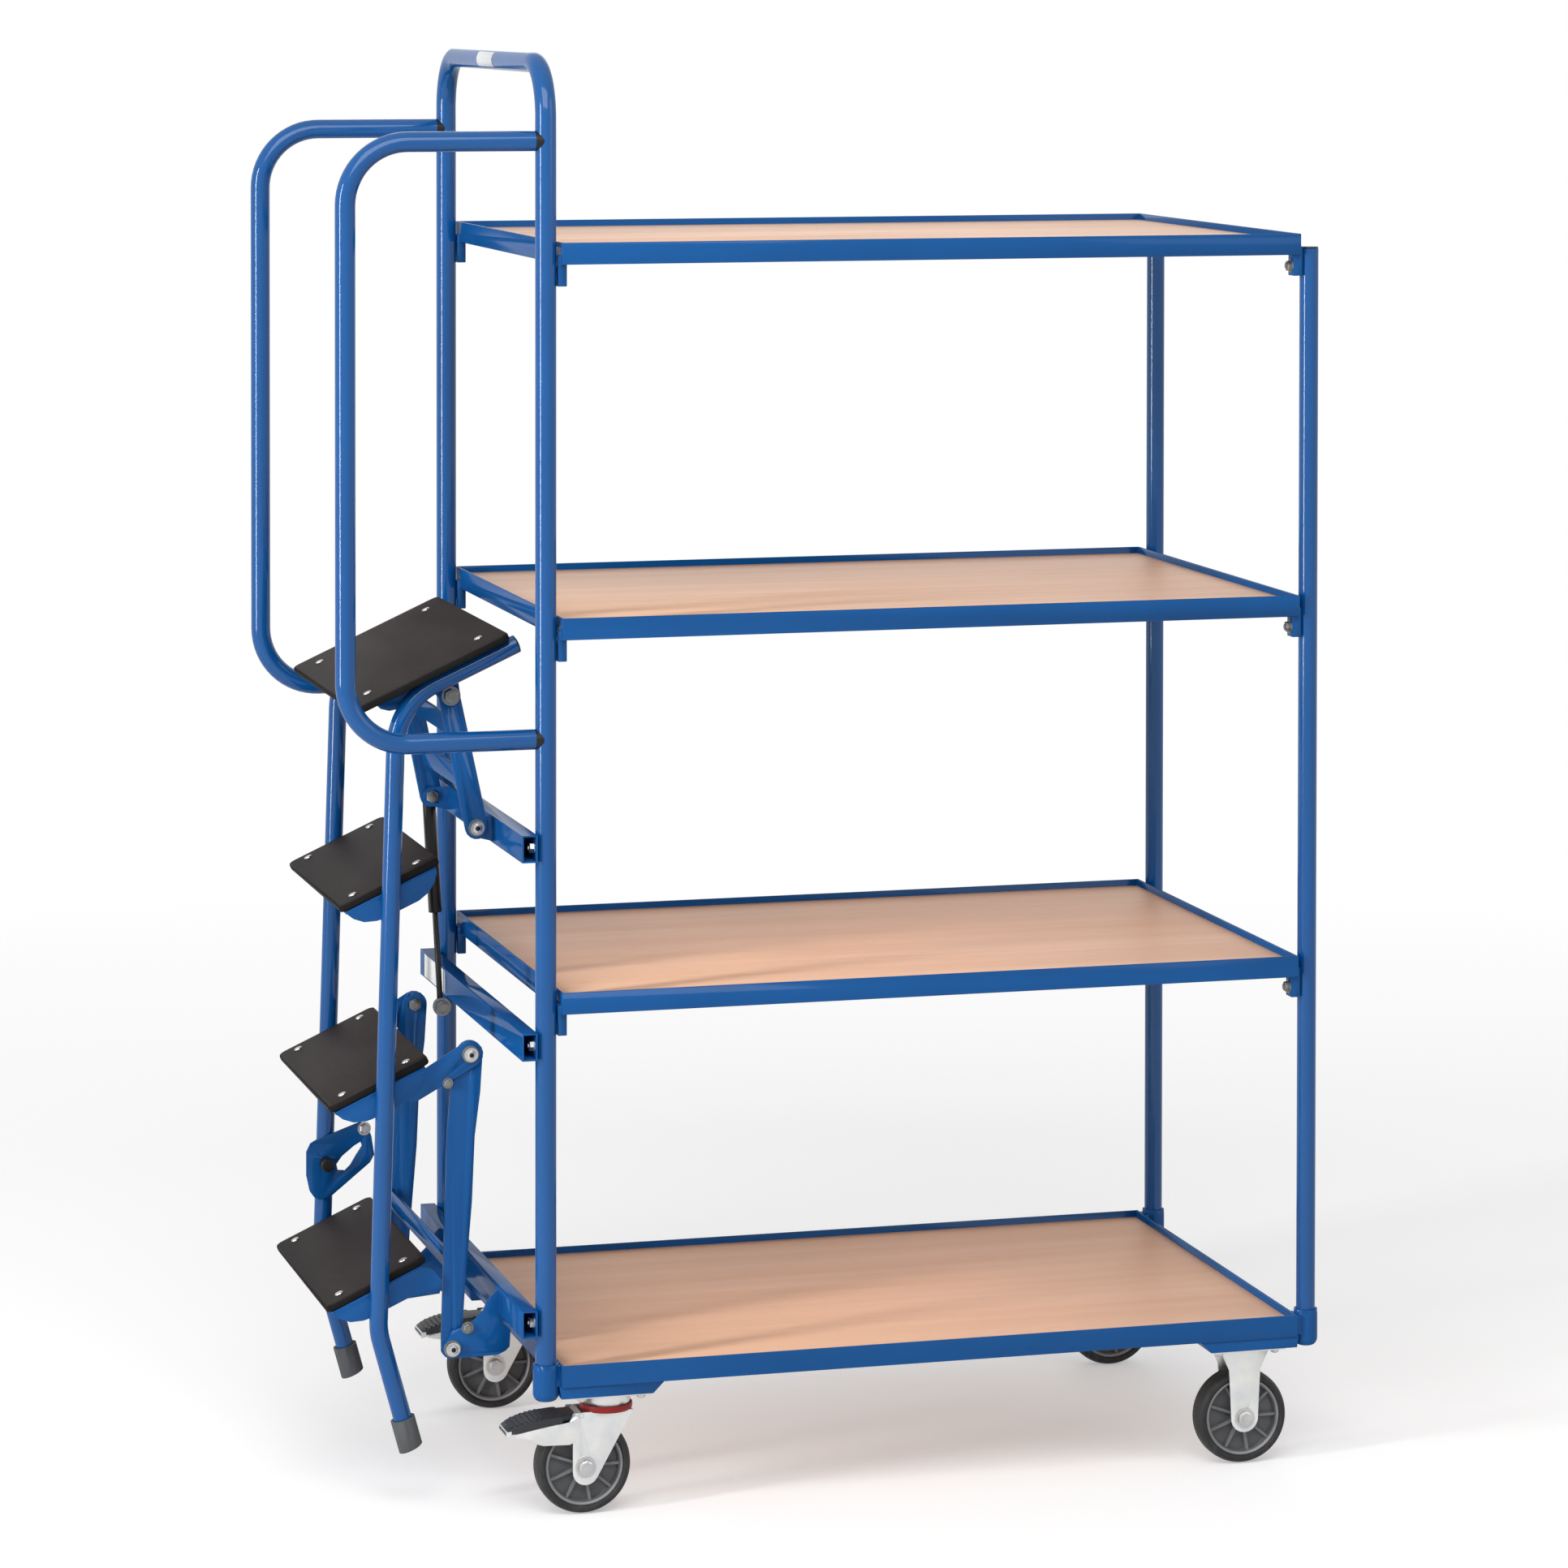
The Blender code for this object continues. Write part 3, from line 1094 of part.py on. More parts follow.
def build_swivel_castor(side, fork_carrier, wheel_carrier, pedal_carrier):
    """A braked swivel castor: top plate with head, fork with its race, axle, wheel and pedal."""
    word = side_name(side)
    y = side * CASTOR_SPREAD
    swivel_x = LADDER_POST_X + SWIVEL_AHEAD
    axle_x = swivel_x - CASTOR_TRAIL
    plate_top = CASTOR_HEIGHT - CLEARANCE
    plate_low = plate_top - CASTOR_PLATE_THICK
    head_low = plate_low - HEAD_DEPTH
    top = box(
        "top",
        (swivel_x - CASTOR_PLATE_LENGTH / 2, y - CASTOR_PLATE_WIDTH / 2, plate_low),
        (swivel_x + CASTOR_PLATE_LENGTH / 2, y + CASTOR_PLATE_WIDTH / 2, plate_top),
    )
    head = rod("head", (swivel_x, y, head_low), (swivel_x, y, plate_low + WELD), HEAD_RADIUS)
    part(f"swivel_plate_{word}", top, "zinc", add=[head], smooth=True)

    race_top = head_low - CLEARANCE
    race_low = race_top - RACE_DEPTH
    saddle_low = race_low - SADDLE_THICK
    axle = Vector((axle_x, WHEEL_RADIUS))
    crown = race_low + WELD
    outline = [
        (swivel_x + SADDLE_AHEAD, crown),
        (swivel_x - FORK_CROWN_BACK, crown),
        (swivel_x - FORK_SHOULDER_BACK, crown - FORK_SHOULDER_DROP),
        (axle_x - FORK_TIP_RADIUS, crown - FORK_WAIST_DROP),
    ]
    outline += arc(axle - Vector((0, FORK_WAIST_AHEAD / 2)), FORK_TIP_RADIUS, 180, 330, 8)
    outline += [(swivel_x + FORK_WAIST_AHEAD, crown - FORK_WAIST_DROP + FORK_WAIST_AHEAD / 2)]
    pedal_pivot = Vector((swivel_x - PEDAL_PIVOT_BACK, race_low - PEDAL_PIVOT_DROP + PEDAL_BOSS_RADIUS))
    pin_hole = flat_radius(PEDAL_PIN_RADIUS + CLEARANCE, ROUND_SIDES)
    axle_hole = flat_radius(AXLE_RADIUS + CLEARANCE, ROUND_SIDES)
    cheeks = fork_cheeks(axle_x, side, outline, [(axle, axle_hole), (pedal_pivot, pin_hole)])
    saddle = box(
        "saddle",
        (swivel_x - SADDLE_BACK, y - FORK_GAP / 2 - WELD, saddle_low),
        (swivel_x + SADDLE_AHEAD - WELD, y + FORK_GAP / 2 + WELD, race_low + WELD / 2),
    )
    race = rod("race", (swivel_x, y, race_low), (swivel_x, y, race_top), RACE_RADIUS)
    part(f"swivel_fork_{word}", race, "zinc", fork_carrier, add=[cheeks, saddle], smooth=True)
    build_axle(f"swivel_axle_{word}", axle_x, side, fork_carrier)
    build_wheel(f"swivel_{word}", axle_x, side, wheel_carrier)
    build_pedal(side, pedal_pivot, pedal_carrier)
    return swivel_x, axle_x, pedal_pivot


def build_pedal(side, pivot, carrier):
    """The brake pedal: a neck between the fork's cheeks and a wider toe outside them."""
    y = side * CASTOR_SPREAD
    tip = pivot - Vector((PEDAL_LENGTH, PEDAL_FALL))
    root = pivot + Vector((0, PEDAL_BOSS_RADIUS))
    share = PEDAL_TOE_LENGTH / PEDAL_LENGTH
    toe_top = tip.lerp(root, share)
    down = Vector((0, PEDAL_THICK))
    neck = arc(pivot, PEDAL_BOSS_RADIUS, 90, -90, 6) + [toe_top - down * PEDAL_NECK_SHARE, toe_top]
    toe = [toe_top + Vector((WELD, 0)), toe_top + Vector((WELD, 0)) - down, tip - down, tip]
    half_neck, half_toe = PEDAL_NECK_WIDTH / 2, PEDAL_TOE_WIDTH / 2
    neck_body = plate("neck", neck, y - half_neck, y + half_neck)
    toe_body = plate("toe", toe, y - half_toe, y + half_toe)
    reach = FORK_GAP / 2 + FORK_PLATE + CLEARANCE
    pin = cross_rod("pin", pivot, y - reach, y + reach, PEDAL_PIN_RADIUS)
    part(f"brake_pedal_{side_name(side)}", neck_body, "black", carrier, add=[toe_body, pin])


def build_fixed_castor(side, wheel_carrier):
    """A fixed castor: a fork with its top plate, an axle and a wheel."""
    word = side_name(side)
    y = side * CASTOR_SPREAD
    x = LADDER_POST_X + FIXED_AHEAD
    plate_top = CASTOR_HEIGHT - CLEARANCE
    plate_low = plate_top - CASTOR_PLATE_THICK
    axle = Vector((x, WHEEL_RADIUS))
    top = box(
        "top",
        (x - CASTOR_PLATE_LENGTH / 2, y - CASTOR_PLATE_WIDTH / 2, plate_low),
        (x + CASTOR_PLATE_LENGTH / 2, y + CASTOR_PLATE_WIDTH / 2, plate_top),
    )
    outline = [
        (x + FIXED_FORK_TOP_HALF, plate_low + WELD),
        (x - FIXED_FORK_TOP_HALF, plate_low + WELD),
        (x - FIXED_FORK_TOP_HALF + FIXED_FORK_WING, plate_low - 2 * FIXED_FORK_WING),
    ]
    outline += arc(axle, FIXED_FORK_TIP_RADIUS, 190, 350, 8)
    outline += [(x + FIXED_FORK_TOP_HALF - FIXED_FORK_WING, plate_low - 2 * FIXED_FORK_WING)]
    axle_hole = flat_radius(AXLE_RADIUS + CLEARANCE, ROUND_SIDES)
    cheeks = fork_cheeks(x, side, outline, [(axle, axle_hole)])
    part(f"fixed_fork_{word}", top, "zinc", add=[cheeks])
    build_axle(f"fixed_axle_{word}", x, side)
    build_wheel(f"fixed_{word}", x, side, wheel_carrier)


def build_castors():
    """Two swivel castors at the ladder end and two fixed ones at the far end."""
    swivel_x = LADDER_POST_X + SWIVEL_AHEAD
    for side in (-1, 1):
        word = side_name(side)
        y = side * CASTOR_SPREAD
        fork_axis = axis_empty(f"swivel_axis_{word}", (swivel_x, y, 0))
        wheel_axis = axis_empty(f"swivel_wheel_axis_{word}", (swivel_x - CASTOR_TRAIL, y, WHEEL_RADIUS))
        pedal_place = (swivel_x - PEDAL_PIVOT_BACK, y, CASTOR_HEIGHT - PAN_DEPTH)
        pedal_axis = axis_empty(f"pedal_axis_{word}", pedal_place)
        build_swivel_castor(side, fork_axis, wheel_axis, pedal_axis)
        fixed_place = (LADDER_POST_X + FIXED_AHEAD, y, WHEEL_RADIUS)
        fixed_axis = axis_empty(f"fixed_wheel_axis_{word}", fixed_place)
        build_fixed_castor(side, fixed_axis)


def main():
    """Builds the whole trolley."""
    build_handle_arch()
    for side in (-1, 1):
        build_far_post(side)
        build_guard_loop(side)
    build_deck_frame()
    build_board("deck_board", DECK_RIM)
    for level, word in enumerate(("lower", "middle", "top"), start=1):
        rim = DECK_RIM + level * SHELF_PITCH
        build_shelf_frame(f"shelf_frame_{word}", rim)
        build_board(f"shelf_board_{word}", rim)
    build_upper_bar()
    build_middle_bar()
    build_lower_bar()
    for side in (-1, 1):
        word = side_name(side)
        build_bolt(
            f"lower_pivot_bolt_{word}", LOWER_FIXED, side, LOWER_LINK_INNER, CHEEK_OUTER, BOLT_HEAD_THICK
        )
        build_bolt(
            f"upper_pivot_bolt_{word}", UPPER_FIXED, side, BAR_LUG_INNER, UPPER_LINK_OUTER, LOW_HEAD_THICK
        )
    build_castors()
    lower_axis = axis_empty("lower_link_axis", (LOWER_FIXED[0], 0, LOWER_FIXED[1]))
    ladder_axis = axis_empty("ladder_axis", (LOWER_MOVING[0], 0, LOWER_MOVING[1]))
    upper_axis = axis_empty("upper_link_axis", (UPPER_FIXED[0], 0, UPPER_FIXED[1]))
    gas_axis = axis_empty("gas_spring_axis", (GAS_FIXED[0], GAS_SPREAD, GAS_FIXED[1]))
    build_lower_link(lower_axis)
    build_upper_link(upper_axis)
    build_ladder(ladder_axis)
    build_gas_spring(gas_axis, gas_axis)


main()
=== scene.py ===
"""Looks of an order picking trolley with a fold-down step ladder.

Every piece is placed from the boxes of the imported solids. Metres, +Z up, the ladder end at -X and
the front side at -Y. Each sub-assembly is a class that makes its pieces and dresses them.
"""

from __future__ import annotations

import json
import logging
import math
from dataclasses import dataclass, field
from enum import Enum
from typing import Any, Sequence

import bmesh
import bpy
from mathutils import Matrix, Vector

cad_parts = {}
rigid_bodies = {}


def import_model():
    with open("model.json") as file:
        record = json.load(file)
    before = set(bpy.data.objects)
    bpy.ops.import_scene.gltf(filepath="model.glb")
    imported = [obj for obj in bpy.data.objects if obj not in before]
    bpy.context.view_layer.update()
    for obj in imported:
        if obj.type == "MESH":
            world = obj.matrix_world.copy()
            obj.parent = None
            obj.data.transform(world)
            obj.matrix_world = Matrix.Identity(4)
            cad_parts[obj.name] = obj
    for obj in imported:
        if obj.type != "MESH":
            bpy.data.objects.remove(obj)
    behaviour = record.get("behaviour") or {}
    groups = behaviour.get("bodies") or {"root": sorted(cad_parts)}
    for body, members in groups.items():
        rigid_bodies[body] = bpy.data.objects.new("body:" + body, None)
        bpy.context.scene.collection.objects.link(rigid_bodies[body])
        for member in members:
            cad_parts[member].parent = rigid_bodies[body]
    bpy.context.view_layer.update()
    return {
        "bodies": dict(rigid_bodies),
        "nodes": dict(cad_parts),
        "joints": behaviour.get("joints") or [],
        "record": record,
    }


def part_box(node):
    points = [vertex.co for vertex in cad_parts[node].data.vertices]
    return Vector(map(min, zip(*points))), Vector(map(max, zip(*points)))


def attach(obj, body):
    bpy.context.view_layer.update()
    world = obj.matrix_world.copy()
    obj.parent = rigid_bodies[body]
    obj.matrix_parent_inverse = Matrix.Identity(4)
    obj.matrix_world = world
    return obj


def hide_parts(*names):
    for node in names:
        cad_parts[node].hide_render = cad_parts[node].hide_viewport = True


MM = 0.001
LOG = logging.getLogger("trolley")
SHARP_ANGLE = math.radians(32)
SLAB_SHARP_ANGLE = math.radians(40)
SLAB_RIM_ANGLE = math.radians(60)
SHEET_SOFTNESS = 0.3
SEED = 7
SIDES = (("front", -1), ("rear", 1))
CORNERS = ((-1, -1), (-1, 1), (1, -1), (1, 1))
LEVELS = ("lower", "middle", "top")

FRAME = "frame"
LADDER = "ladder"
LOWER_LINK = "lower_link"
UPPER_LINK = "upper_link"
GAS_ROD = "gas_rod"
GAS_CYLINDER = "gas_cylinder"

Socket = bpy.types.NodeSocket
Node = bpy.types.Node
NodeTree = bpy.types.NodeTree
Material = bpy.types.Material
Piece = bpy.types.Object
Mesh = bpy.types.Mesh
Form = bmesh.types.BMesh
Corner = bmesh.types.BMVert
Rgb = tuple[float, float, float]
Pair = tuple[float, float]
Path = Sequence[Vector]
Outline = Sequence[Pair]
Stand = tuple[Vector, Vector]


class Along(Enum):
    """The direction that a turned piece's axis, or a fastener's head, points in."""

    LEFT = (-1.0, 0.0, 0.0)
    FRONT = (0.0, -1.0, 0.0)
    REAR = (0.0, 1.0, 0.0)
    DOWN = (0.0, 0.0, -1.0)
    UP = (0.0, 0.0, 1.0)

    @property
    def vector(self) -> Vector:
        """The direction as a vector."""
        return Vector(self.value)


def sideways(side: int) -> Vector:
    """The direction away from the trolley's middle, towards the front (-1) or the rear (1)."""
    return Vector((0.0, side, 0.0))


def mirrored(rear: Vector) -> list[Stand]:
    """A spot that faces outwards on both sides, from its place on the rear side."""
    return [(Vector((rear.x, side * rear.y, rear.z)), sideways(side)) for _, side in SIDES]


@dataclass(frozen=True)
class Span:
    """The box that a solid fills at rest."""

    low: Vector
    high: Vector

    @classmethod
    def of(cls, node: str) -> Span:
        """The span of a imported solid, by its name."""
        low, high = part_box(node)
        return cls(Vector(low), Vector(high))

    @property
    def middle(self) -> Vector:
        """The middle of the box."""
        return (self.low + self.high) / 2

    @property
    def size(self) -> Vector:
        """The three sides of the box."""
        return self.high - self.low


class Shader:
    """A material or shader group under construction."""

    def __init__(self, tree: NodeTree) -> None:
        """Works on a node tree."""
        self.tree = tree

    def add(self, kind: str, **settings: Any) -> Node:
        """Adds a node and sets its properties.

        Args:
            kind: the node's type.
            settings: properties of the node, by name.

        Returns:
            The new node.
        """
        node = self.tree.nodes.new(kind)
        for key, value in settings.items():
            setattr(node, key, value)
        return node

    def link(self, source: Socket, target: Socket) -> None:
        """Joins two sockets."""
        self.tree.links.new(source, target)

    def noise(self, vector: Socket, scale: float, detail: float = 3.0) -> Socket:
        """A noise texture over a vector.

        Args:
            vector: the vector.
            scale: the noise's scale.
            detail: how many finer layers it has.

        Returns:
            The noise's value.
        """
        node = self.add("ShaderNodeTexNoise")
        node.inputs["Scale"].default_value = scale
        node.inputs["Detail"].default_value = detail
        self.link(vector, node.inputs["Vector"])
        return node.outputs["Fac"]

    def stretched(self, vector: Socket, scale: Sequence[float]) -> Socket:
        """A vector scaled by a different amount along each axis.

        Args:
            vector: the vector.
            scale: the amount along X, Y and Z.

        Returns:
            The scaled vector.
        """
        node = self.add("ShaderNodeMapping")
        node.inputs["Scale"].default_value = scale
        self.link(vector, node.inputs["Vector"])
        return node.outputs["Vector"]

    def ranged(self, value: Socket, low: float, high: float, start: float = 0.3, end: float = 0.7) -> Socket:
        """Maps a value onto a range.

        Args:
            value: the value.
            low: what the range starts with.
            high: what the range ends with.
            start: the value that becomes low.
            end: the value that becomes high.

        Returns:
            The mapped value.
        """
        node = self.add("ShaderNodeMapRange")
        self.link(value, node.inputs["Value"])
        for name, number in (("From Min", start), ("From Max", end), ("To Min", low), ("To Max", high)):
            node.inputs[name].default_value = number
        return node.outputs["Result"]

    def mixed(self, share: Socket, first: Socket | Rgb, second: Socket | Rgb) -> Socket:
        """Mixes two colours.

        Args:
            share: how much of the second one shows.
            first: a colour, as a socket or a linear RGB.
            second: the other colour.

        Returns:
            The mixed colour.
        """
        node = self.add("ShaderNodeMix", data_type="RGBA")
        self.link(share, node.inputs["Factor"])
        for colour, socket in ((first, node.inputs[6]), (second, node.inputs[7])):
            if isinstance(colour, Socket):
                self.link(colour, socket)
            else:
                socket.default_value = (*colour, 1.0)
        return node.outputs[2]

    def group(self, tree: NodeTree, vector: Socket, **values: float) -> Node:
        """Adds a shared shader group over a vector.

        Args:
            tree: the group.
            vector: the vector.
            values: the group's numbers by name.

        Returns:
            The group's node.
        """
        node = self.add("ShaderNodeGroup", node_tree=tree)
        self.link(vector, node.inputs["Vector"])
        for name, value in values.items():
            node.inputs[name].default_value = value
        return node


def new_group(
    name: str, numbers: Sequence[str], results: Sequence[tuple[str, str]]
) -> tuple[Shader, Node, Node]:
    """Starts a shader group with a vector input.

    Args:
        name: the group's name.
        numbers: names of its number inputs.
        results: name and socket type of each output.

    Returns:
        The group under construction, its input node and its output node.
    """
    tree = bpy.data.node_groups.new(name, "ShaderNodeTree")
    tree.interface.new_socket("Vector", in_out="INPUT", socket_type="NodeSocketVector")
    for number in numbers:
        tree.interface.new_socket(number, in_out="INPUT", socket_type="NodeSocketFloat")
    for result, kind in results:
        tree.interface.new_socket(result, in_out="OUTPUT", socket_type=kind)
    shader = Shader(tree)
    return shader, shader.add("NodeGroupInput"), shader.add("NodeGroupOutput")


def relief_group() -> NodeTree:
    """A fine noise relief, as on sprayed or moulded surfaces.

    Returns:
        The group, which gives a normal from a grain and a depth.
    """
    shader, given, result = new_group("fine_relief", ("Grain", "Depth"), (("Normal", "NodeSocketVector"),))
    noise = shader.add("ShaderNodeTexNoise")
    noise.inputs["Detail"].default_value = 2.0
    shader.link(given.outputs["Vector"], noise.inputs["Vector"])
    shader.link(given.outputs["Grain"], noise.inputs["Scale"])
    bump = shader.add("ShaderNodeBump")
    bump.inputs["Strength"].default_value = 1.0
    shader.link(given.outputs["Depth"], bump.inputs["Distance"])
    shader.link(noise.outputs["Fac"], bump.inputs["Height"])
    shader.link(bump.outputs["Normal"], result.inputs["Normal"])
    return shader.tree


def handling_group() -> NodeTree:
    """Marks of handling: broad soft patches crossed by short fine scuffs.

    Returns:
        The group, which gives the marks from 0 to 1.
    """
    shader, given, result = new_group("handling_marks", ("Patch", "Scuff"), (("Marks", "NodeSocketFloat"),))
    patch = shader.add("ShaderNodeTexNoise")
    patch.inputs["Detail"].default_value = 4.0
    shader.link(given.outputs["Vector"], patch.inputs["Vector"])
    shader.link(given.outputs["Patch"], patch.inputs["Scale"])
    scuff = shader.add("ShaderNodeTexNoise")
    scuff.inputs["Detail"].default_value = 6.0
    scuff.inputs["Distortion"].default_value = 1.5
    shader.link(shader.stretched(given.outputs["Vector"], (1.0, 1.0, 0.25)), scuff.inputs["Vector"])
    shader.link(given.outputs["Scuff"], scuff.inputs["Scale"])
    blend = shader.add("ShaderNodeMath", operation="MULTIPLY")
    shader.link(shader.ranged(patch.outputs["Fac"], 0.0, 1.0), blend.inputs[0])
    shader.link(shader.ranged(scuff.outputs["Fac"], 0.0, 1.0, 0.45, 0.75), blend.inputs[1])
    shader.link(blend.outputs["Value"], result.inputs["Marks"])
    return shader.tree


@dataclass(frozen=True)
class Finish:
    """A surface finish. Each kind of finish adds its own pattern to the shader."""

    name: str
    colour: Rgb
    roughness: float
    metallic: float = 0.0
    specular: float = 0.3
    grain: float = 700.0
    depth: float = 0.05 * MM
    tone_scale: float = 14.0
    tones: Pair = (0.88, 1.1)

    def material(self, shared: Shared) -> Material:
        """Makes the material of this finish.

        Args:
            shared: the shader groups that finishes share.

        Returns:
            The new material.
        """
        made = bpy.data.materials.new(self.name)
        made.use_nodes = True
        made.diffuse_color = (*self.colour, 1.0)
        shader = Shader(made.node_tree)
        surface = made.node_tree.nodes["Principled BSDF"]
        surface.inputs["Base Color"].default_value = (*self.colour, 1.0)
        surface.inputs["Roughness"].default_value = self.roughness
        surface.inputs["Metallic"].default_value = self.metallic
        surface.inputs["Specular IOR Level"].default_value = self.specular
        place = shader.add("ShaderNodeTexCoord").outputs["Object"]
        self.pattern(Canvas(shader, surface, place, shared))
        return made

    def shade(self, factor: float) -> Rgb:
        """The finish's colour, lighter or darker by a factor."""
        red, green, blue = self.colour
        return (red * factor, green * factor, blue * factor)

    def toned(self, canvas: Canvas) -> Socket:
        """The finish's colour with slow changes of tone.

        Args:
            canvas: the material under construction.

        Returns:
            The colour.
        """
        shader, (dark, pale) = canvas.shader, self.tones
        tone = shader.ranged(shader.noise(canvas.place, self.tone_scale), 0.0, 1.0)
        return shader.mixed(tone, self.shade(dark), self.shade(pale))

    def pattern(self, canvas: Canvas) -> None:
        """Adds the pattern: here a fine relief with soft variation.

        Args:
            canvas: the material under construction.
        """
        canvas.roughen(canvas.place, self.grain, self.depth)
        canvas.set("Base Color", self.toned(canvas))


@dataclass(frozen=True)
class Canvas:
    """A material under construction: its shader, its surface and the place on the piece."""

    shader: Shader
    surface: Node
    place: Socket
    shared: Shared

    def set(self, name: str, value: Socket) -> None:
        """Joins a value to one of the surface's inputs."""
        self.shader.link(value, self.surface.inputs[name])

    def roughen(self, place: Socket, grain: float, depth: float) -> None:
        """Gives the surface the shared fine relief.

        Args:
            place: the vector that the relief lies on.
            grain: the scale of its grain.
            depth: its depth.
        """
        relief = self.shader.group(self.shared.relief, place, Grain=grain, Depth=depth)
        self.set("Normal", relief.outputs["Normal"])

    def emboss(self, height: Socket, depth: float, strength: float) -> None:
        """Gives the surface a relief of its own.

        Args:
            height: the relief's height, from 0 to 1.
            depth: how deep the full height is.
            strength: how much of it shows.
        """
        bump = self.shader.add("ShaderNodeBump")
        bump.inputs["Distance"].default_value = depth
        bump.inputs["Strength"].default_value = strength
        self.shader.link(height, bump.inputs["Height"])
        self.set("Normal", bump.outputs["Normal"])

    def marks(self, patch: float, scuff: float) -> Socket:
        """The shared marks of handling, from 0 to 1, with the scales of patches and scuffs."""
        group = self.shader.group(self.shared.handling, self.place, Patch=patch, Scuff=scuff)
        return group.outputs["Marks"]


@dataclass(frozen=True)
class PowderCoat(Finish):
    """Sprayed and baked powder paint: a satin skin with an orange-peel relief."""

    grain: float = 620.0
    depth: float = 0.03 * MM
    tone_scale: float = 5.0
    tones: Pair = (0.93, 1.06)
    dull: Rgb = (0.009, 0.089, 0.28)
    dull_share: float = 0.22
    dull_roughness: float = 0.16
    gloss: float = 0.3
    gloss_roughness: float = 0.12

    def pattern(self, canvas: Canvas) -> None:
        """Adds the orange peel, slow changes of tone and faint rubbed marks.

        Args:
            canvas: the material under construction.
        """
        shader = canvas.shader
        canvas.surface.inputs["Coat Weight"].default_value = self.gloss
        canvas.surface.inputs["Coat Roughness"].default_value = self.gloss_roughness
        canvas.roughen(canvas.place, self.grain, self.depth)
        marks = canvas.marks(patch=9.0, scuff=130.0)
        faded = shader.ranged(marks, 0.0, self.dull_share, start=0.2, end=1.0)
        canvas.set("Base Color", shader.mixed(faded, self.toned(canvas), self.dull))
        rough = self.roughness + self.dull_roughness
        canvas.set("Roughness", shader.ranged(marks, self.roughness, rough, start=0.0, end=1.0))


@dataclass(frozen=True)
class BeechDecor(Finish):
    """A laminated board with a beech pattern: pale ground, fine streaks and short flecks along X."""

    streak: Rgb = (0.72, 0.425, 0.275)
    streak_scale: Rgb = (0.9, 30.0, 30.0)
    streak_share: float = 0.75
    fleck: Rgb = (0.56, 0.31, 0.185)
    fleck_scale: Rgb = (28.0, 520.0, 520.0)
    fleck_share: float = 0.55
    pore_depth: float = 0.03 * MM
    pore_strength: float = 0.6
    sheen: Pair = (-0.05, 0.08)

    def pattern(self, canvas: Canvas) -> None:
        """Adds streaks, flecks and a fine pore relief.

        Args:
            canvas: the material under construction.
        """
        shader = canvas.shader
        streaks = shader.noise(shader.stretched(canvas.place, self.streak_scale), 1.0, 6.0)
        broad = shader.ranged(streaks, 0.0, self.streak_share, start=0.35, end=0.75)
        ground = shader.mixed(broad, self.colour, self.streak)
        flecks = shader.noise(shader.stretched(canvas.place, self.fleck_scale), 1.0, 2.0)
        share = shader.ranged(flecks, 0.0, self.fleck_share, start=0.62, end=0.72)
        canvas.set("Base Color", shader.mixed(share, ground, self.fleck))
        canvas.emboss(flecks, self.pore_depth, self.pore_strength)
        smooth, rough = (self.roughness + change for change in self.sheen)
        canvas.set("Roughness", shader.ranged(broad, smooth, rough, start=0.0, end=1.0))


@dataclass(frozen=True)
class FilmFace(Finish):
    """Film-faced plywood of a step: dark film pressed with a fine wire mesh, worn paler by shoes."""

    mesh_pitch: float = 2.4 * MM
    mesh_depth: float = 0.12 * MM
    mesh_strength: float = 0.7
    worn: Rgb = (0.045, 0.037, 0.036)
    worn_share: float = 0.5
    wear_stretch: Rgb = (8.0, 1.5, 8.0)
    wear_scale: float = 3.0
    rim: Rgb = (0.012, 0.011, 0.011)
    rim_turn: Pair = (0.60, 0.86)

    def pattern(self, canvas: Canvas) -> None:
        """Adds the pressed mesh, the wear and the darker rim of the board.

        Args:
            canvas: the material under construction.
        """
        shader = canvas.shader
        canvas.emboss(self.wires(canvas), self.mesh_depth, self.mesh_strength)
        marks = canvas.marks(patch=7.0, scuff=60.0)
        wear = shader.noise(shader.stretched(canvas.place, self.wear_stretch), self.wear_scale)
        base = shader.mixed(shader.ranged(wear, 0.0, self.worn_share), self.colour, self.worn)
        rubbed = shader.ranged(marks, 0.0, self.worn_share, start=0.1, end=1.0)
        face = shader.mixed(rubbed, base, self.worn)
        facing = shader.add("ShaderNodeSeparateXYZ")
        shader.link(shader.add("ShaderNodeTexCoord").outputs["Normal"], facing.inputs[0])
        share = shader.ranged(facing.outputs["Z"], 0.0, 1.0, *self.rim_turn)
        canvas.set("Base Color", shader.mixed(share, self.rim, face))

    def wires(self, canvas: Canvas) -> Socket:
        """The height of the crossed wires.

        Args:
            canvas: the material under construction.

        Returns:
            The height, from 0 to 1.
        """
        shader, highest = canvas.shader, canvas.shader.add("ShaderNodeMath", operation="MAXIMUM")
        for index, direction in enumerate(("X", "Y")):
            wave = shader.add("ShaderNodeTexWave", bands_direction=direction, wave_profile="SIN")
            wave.inputs["Scale"].default_value = 0.5 / self.mesh_pitch
            wave.inputs["Distortion"].default_value = 0.0
            shader.link(canvas.place, wave.inputs["Vector"])
            shader.link(wave.outputs["Fac"], highest.inputs[index])
        return highest.outputs["Value"]


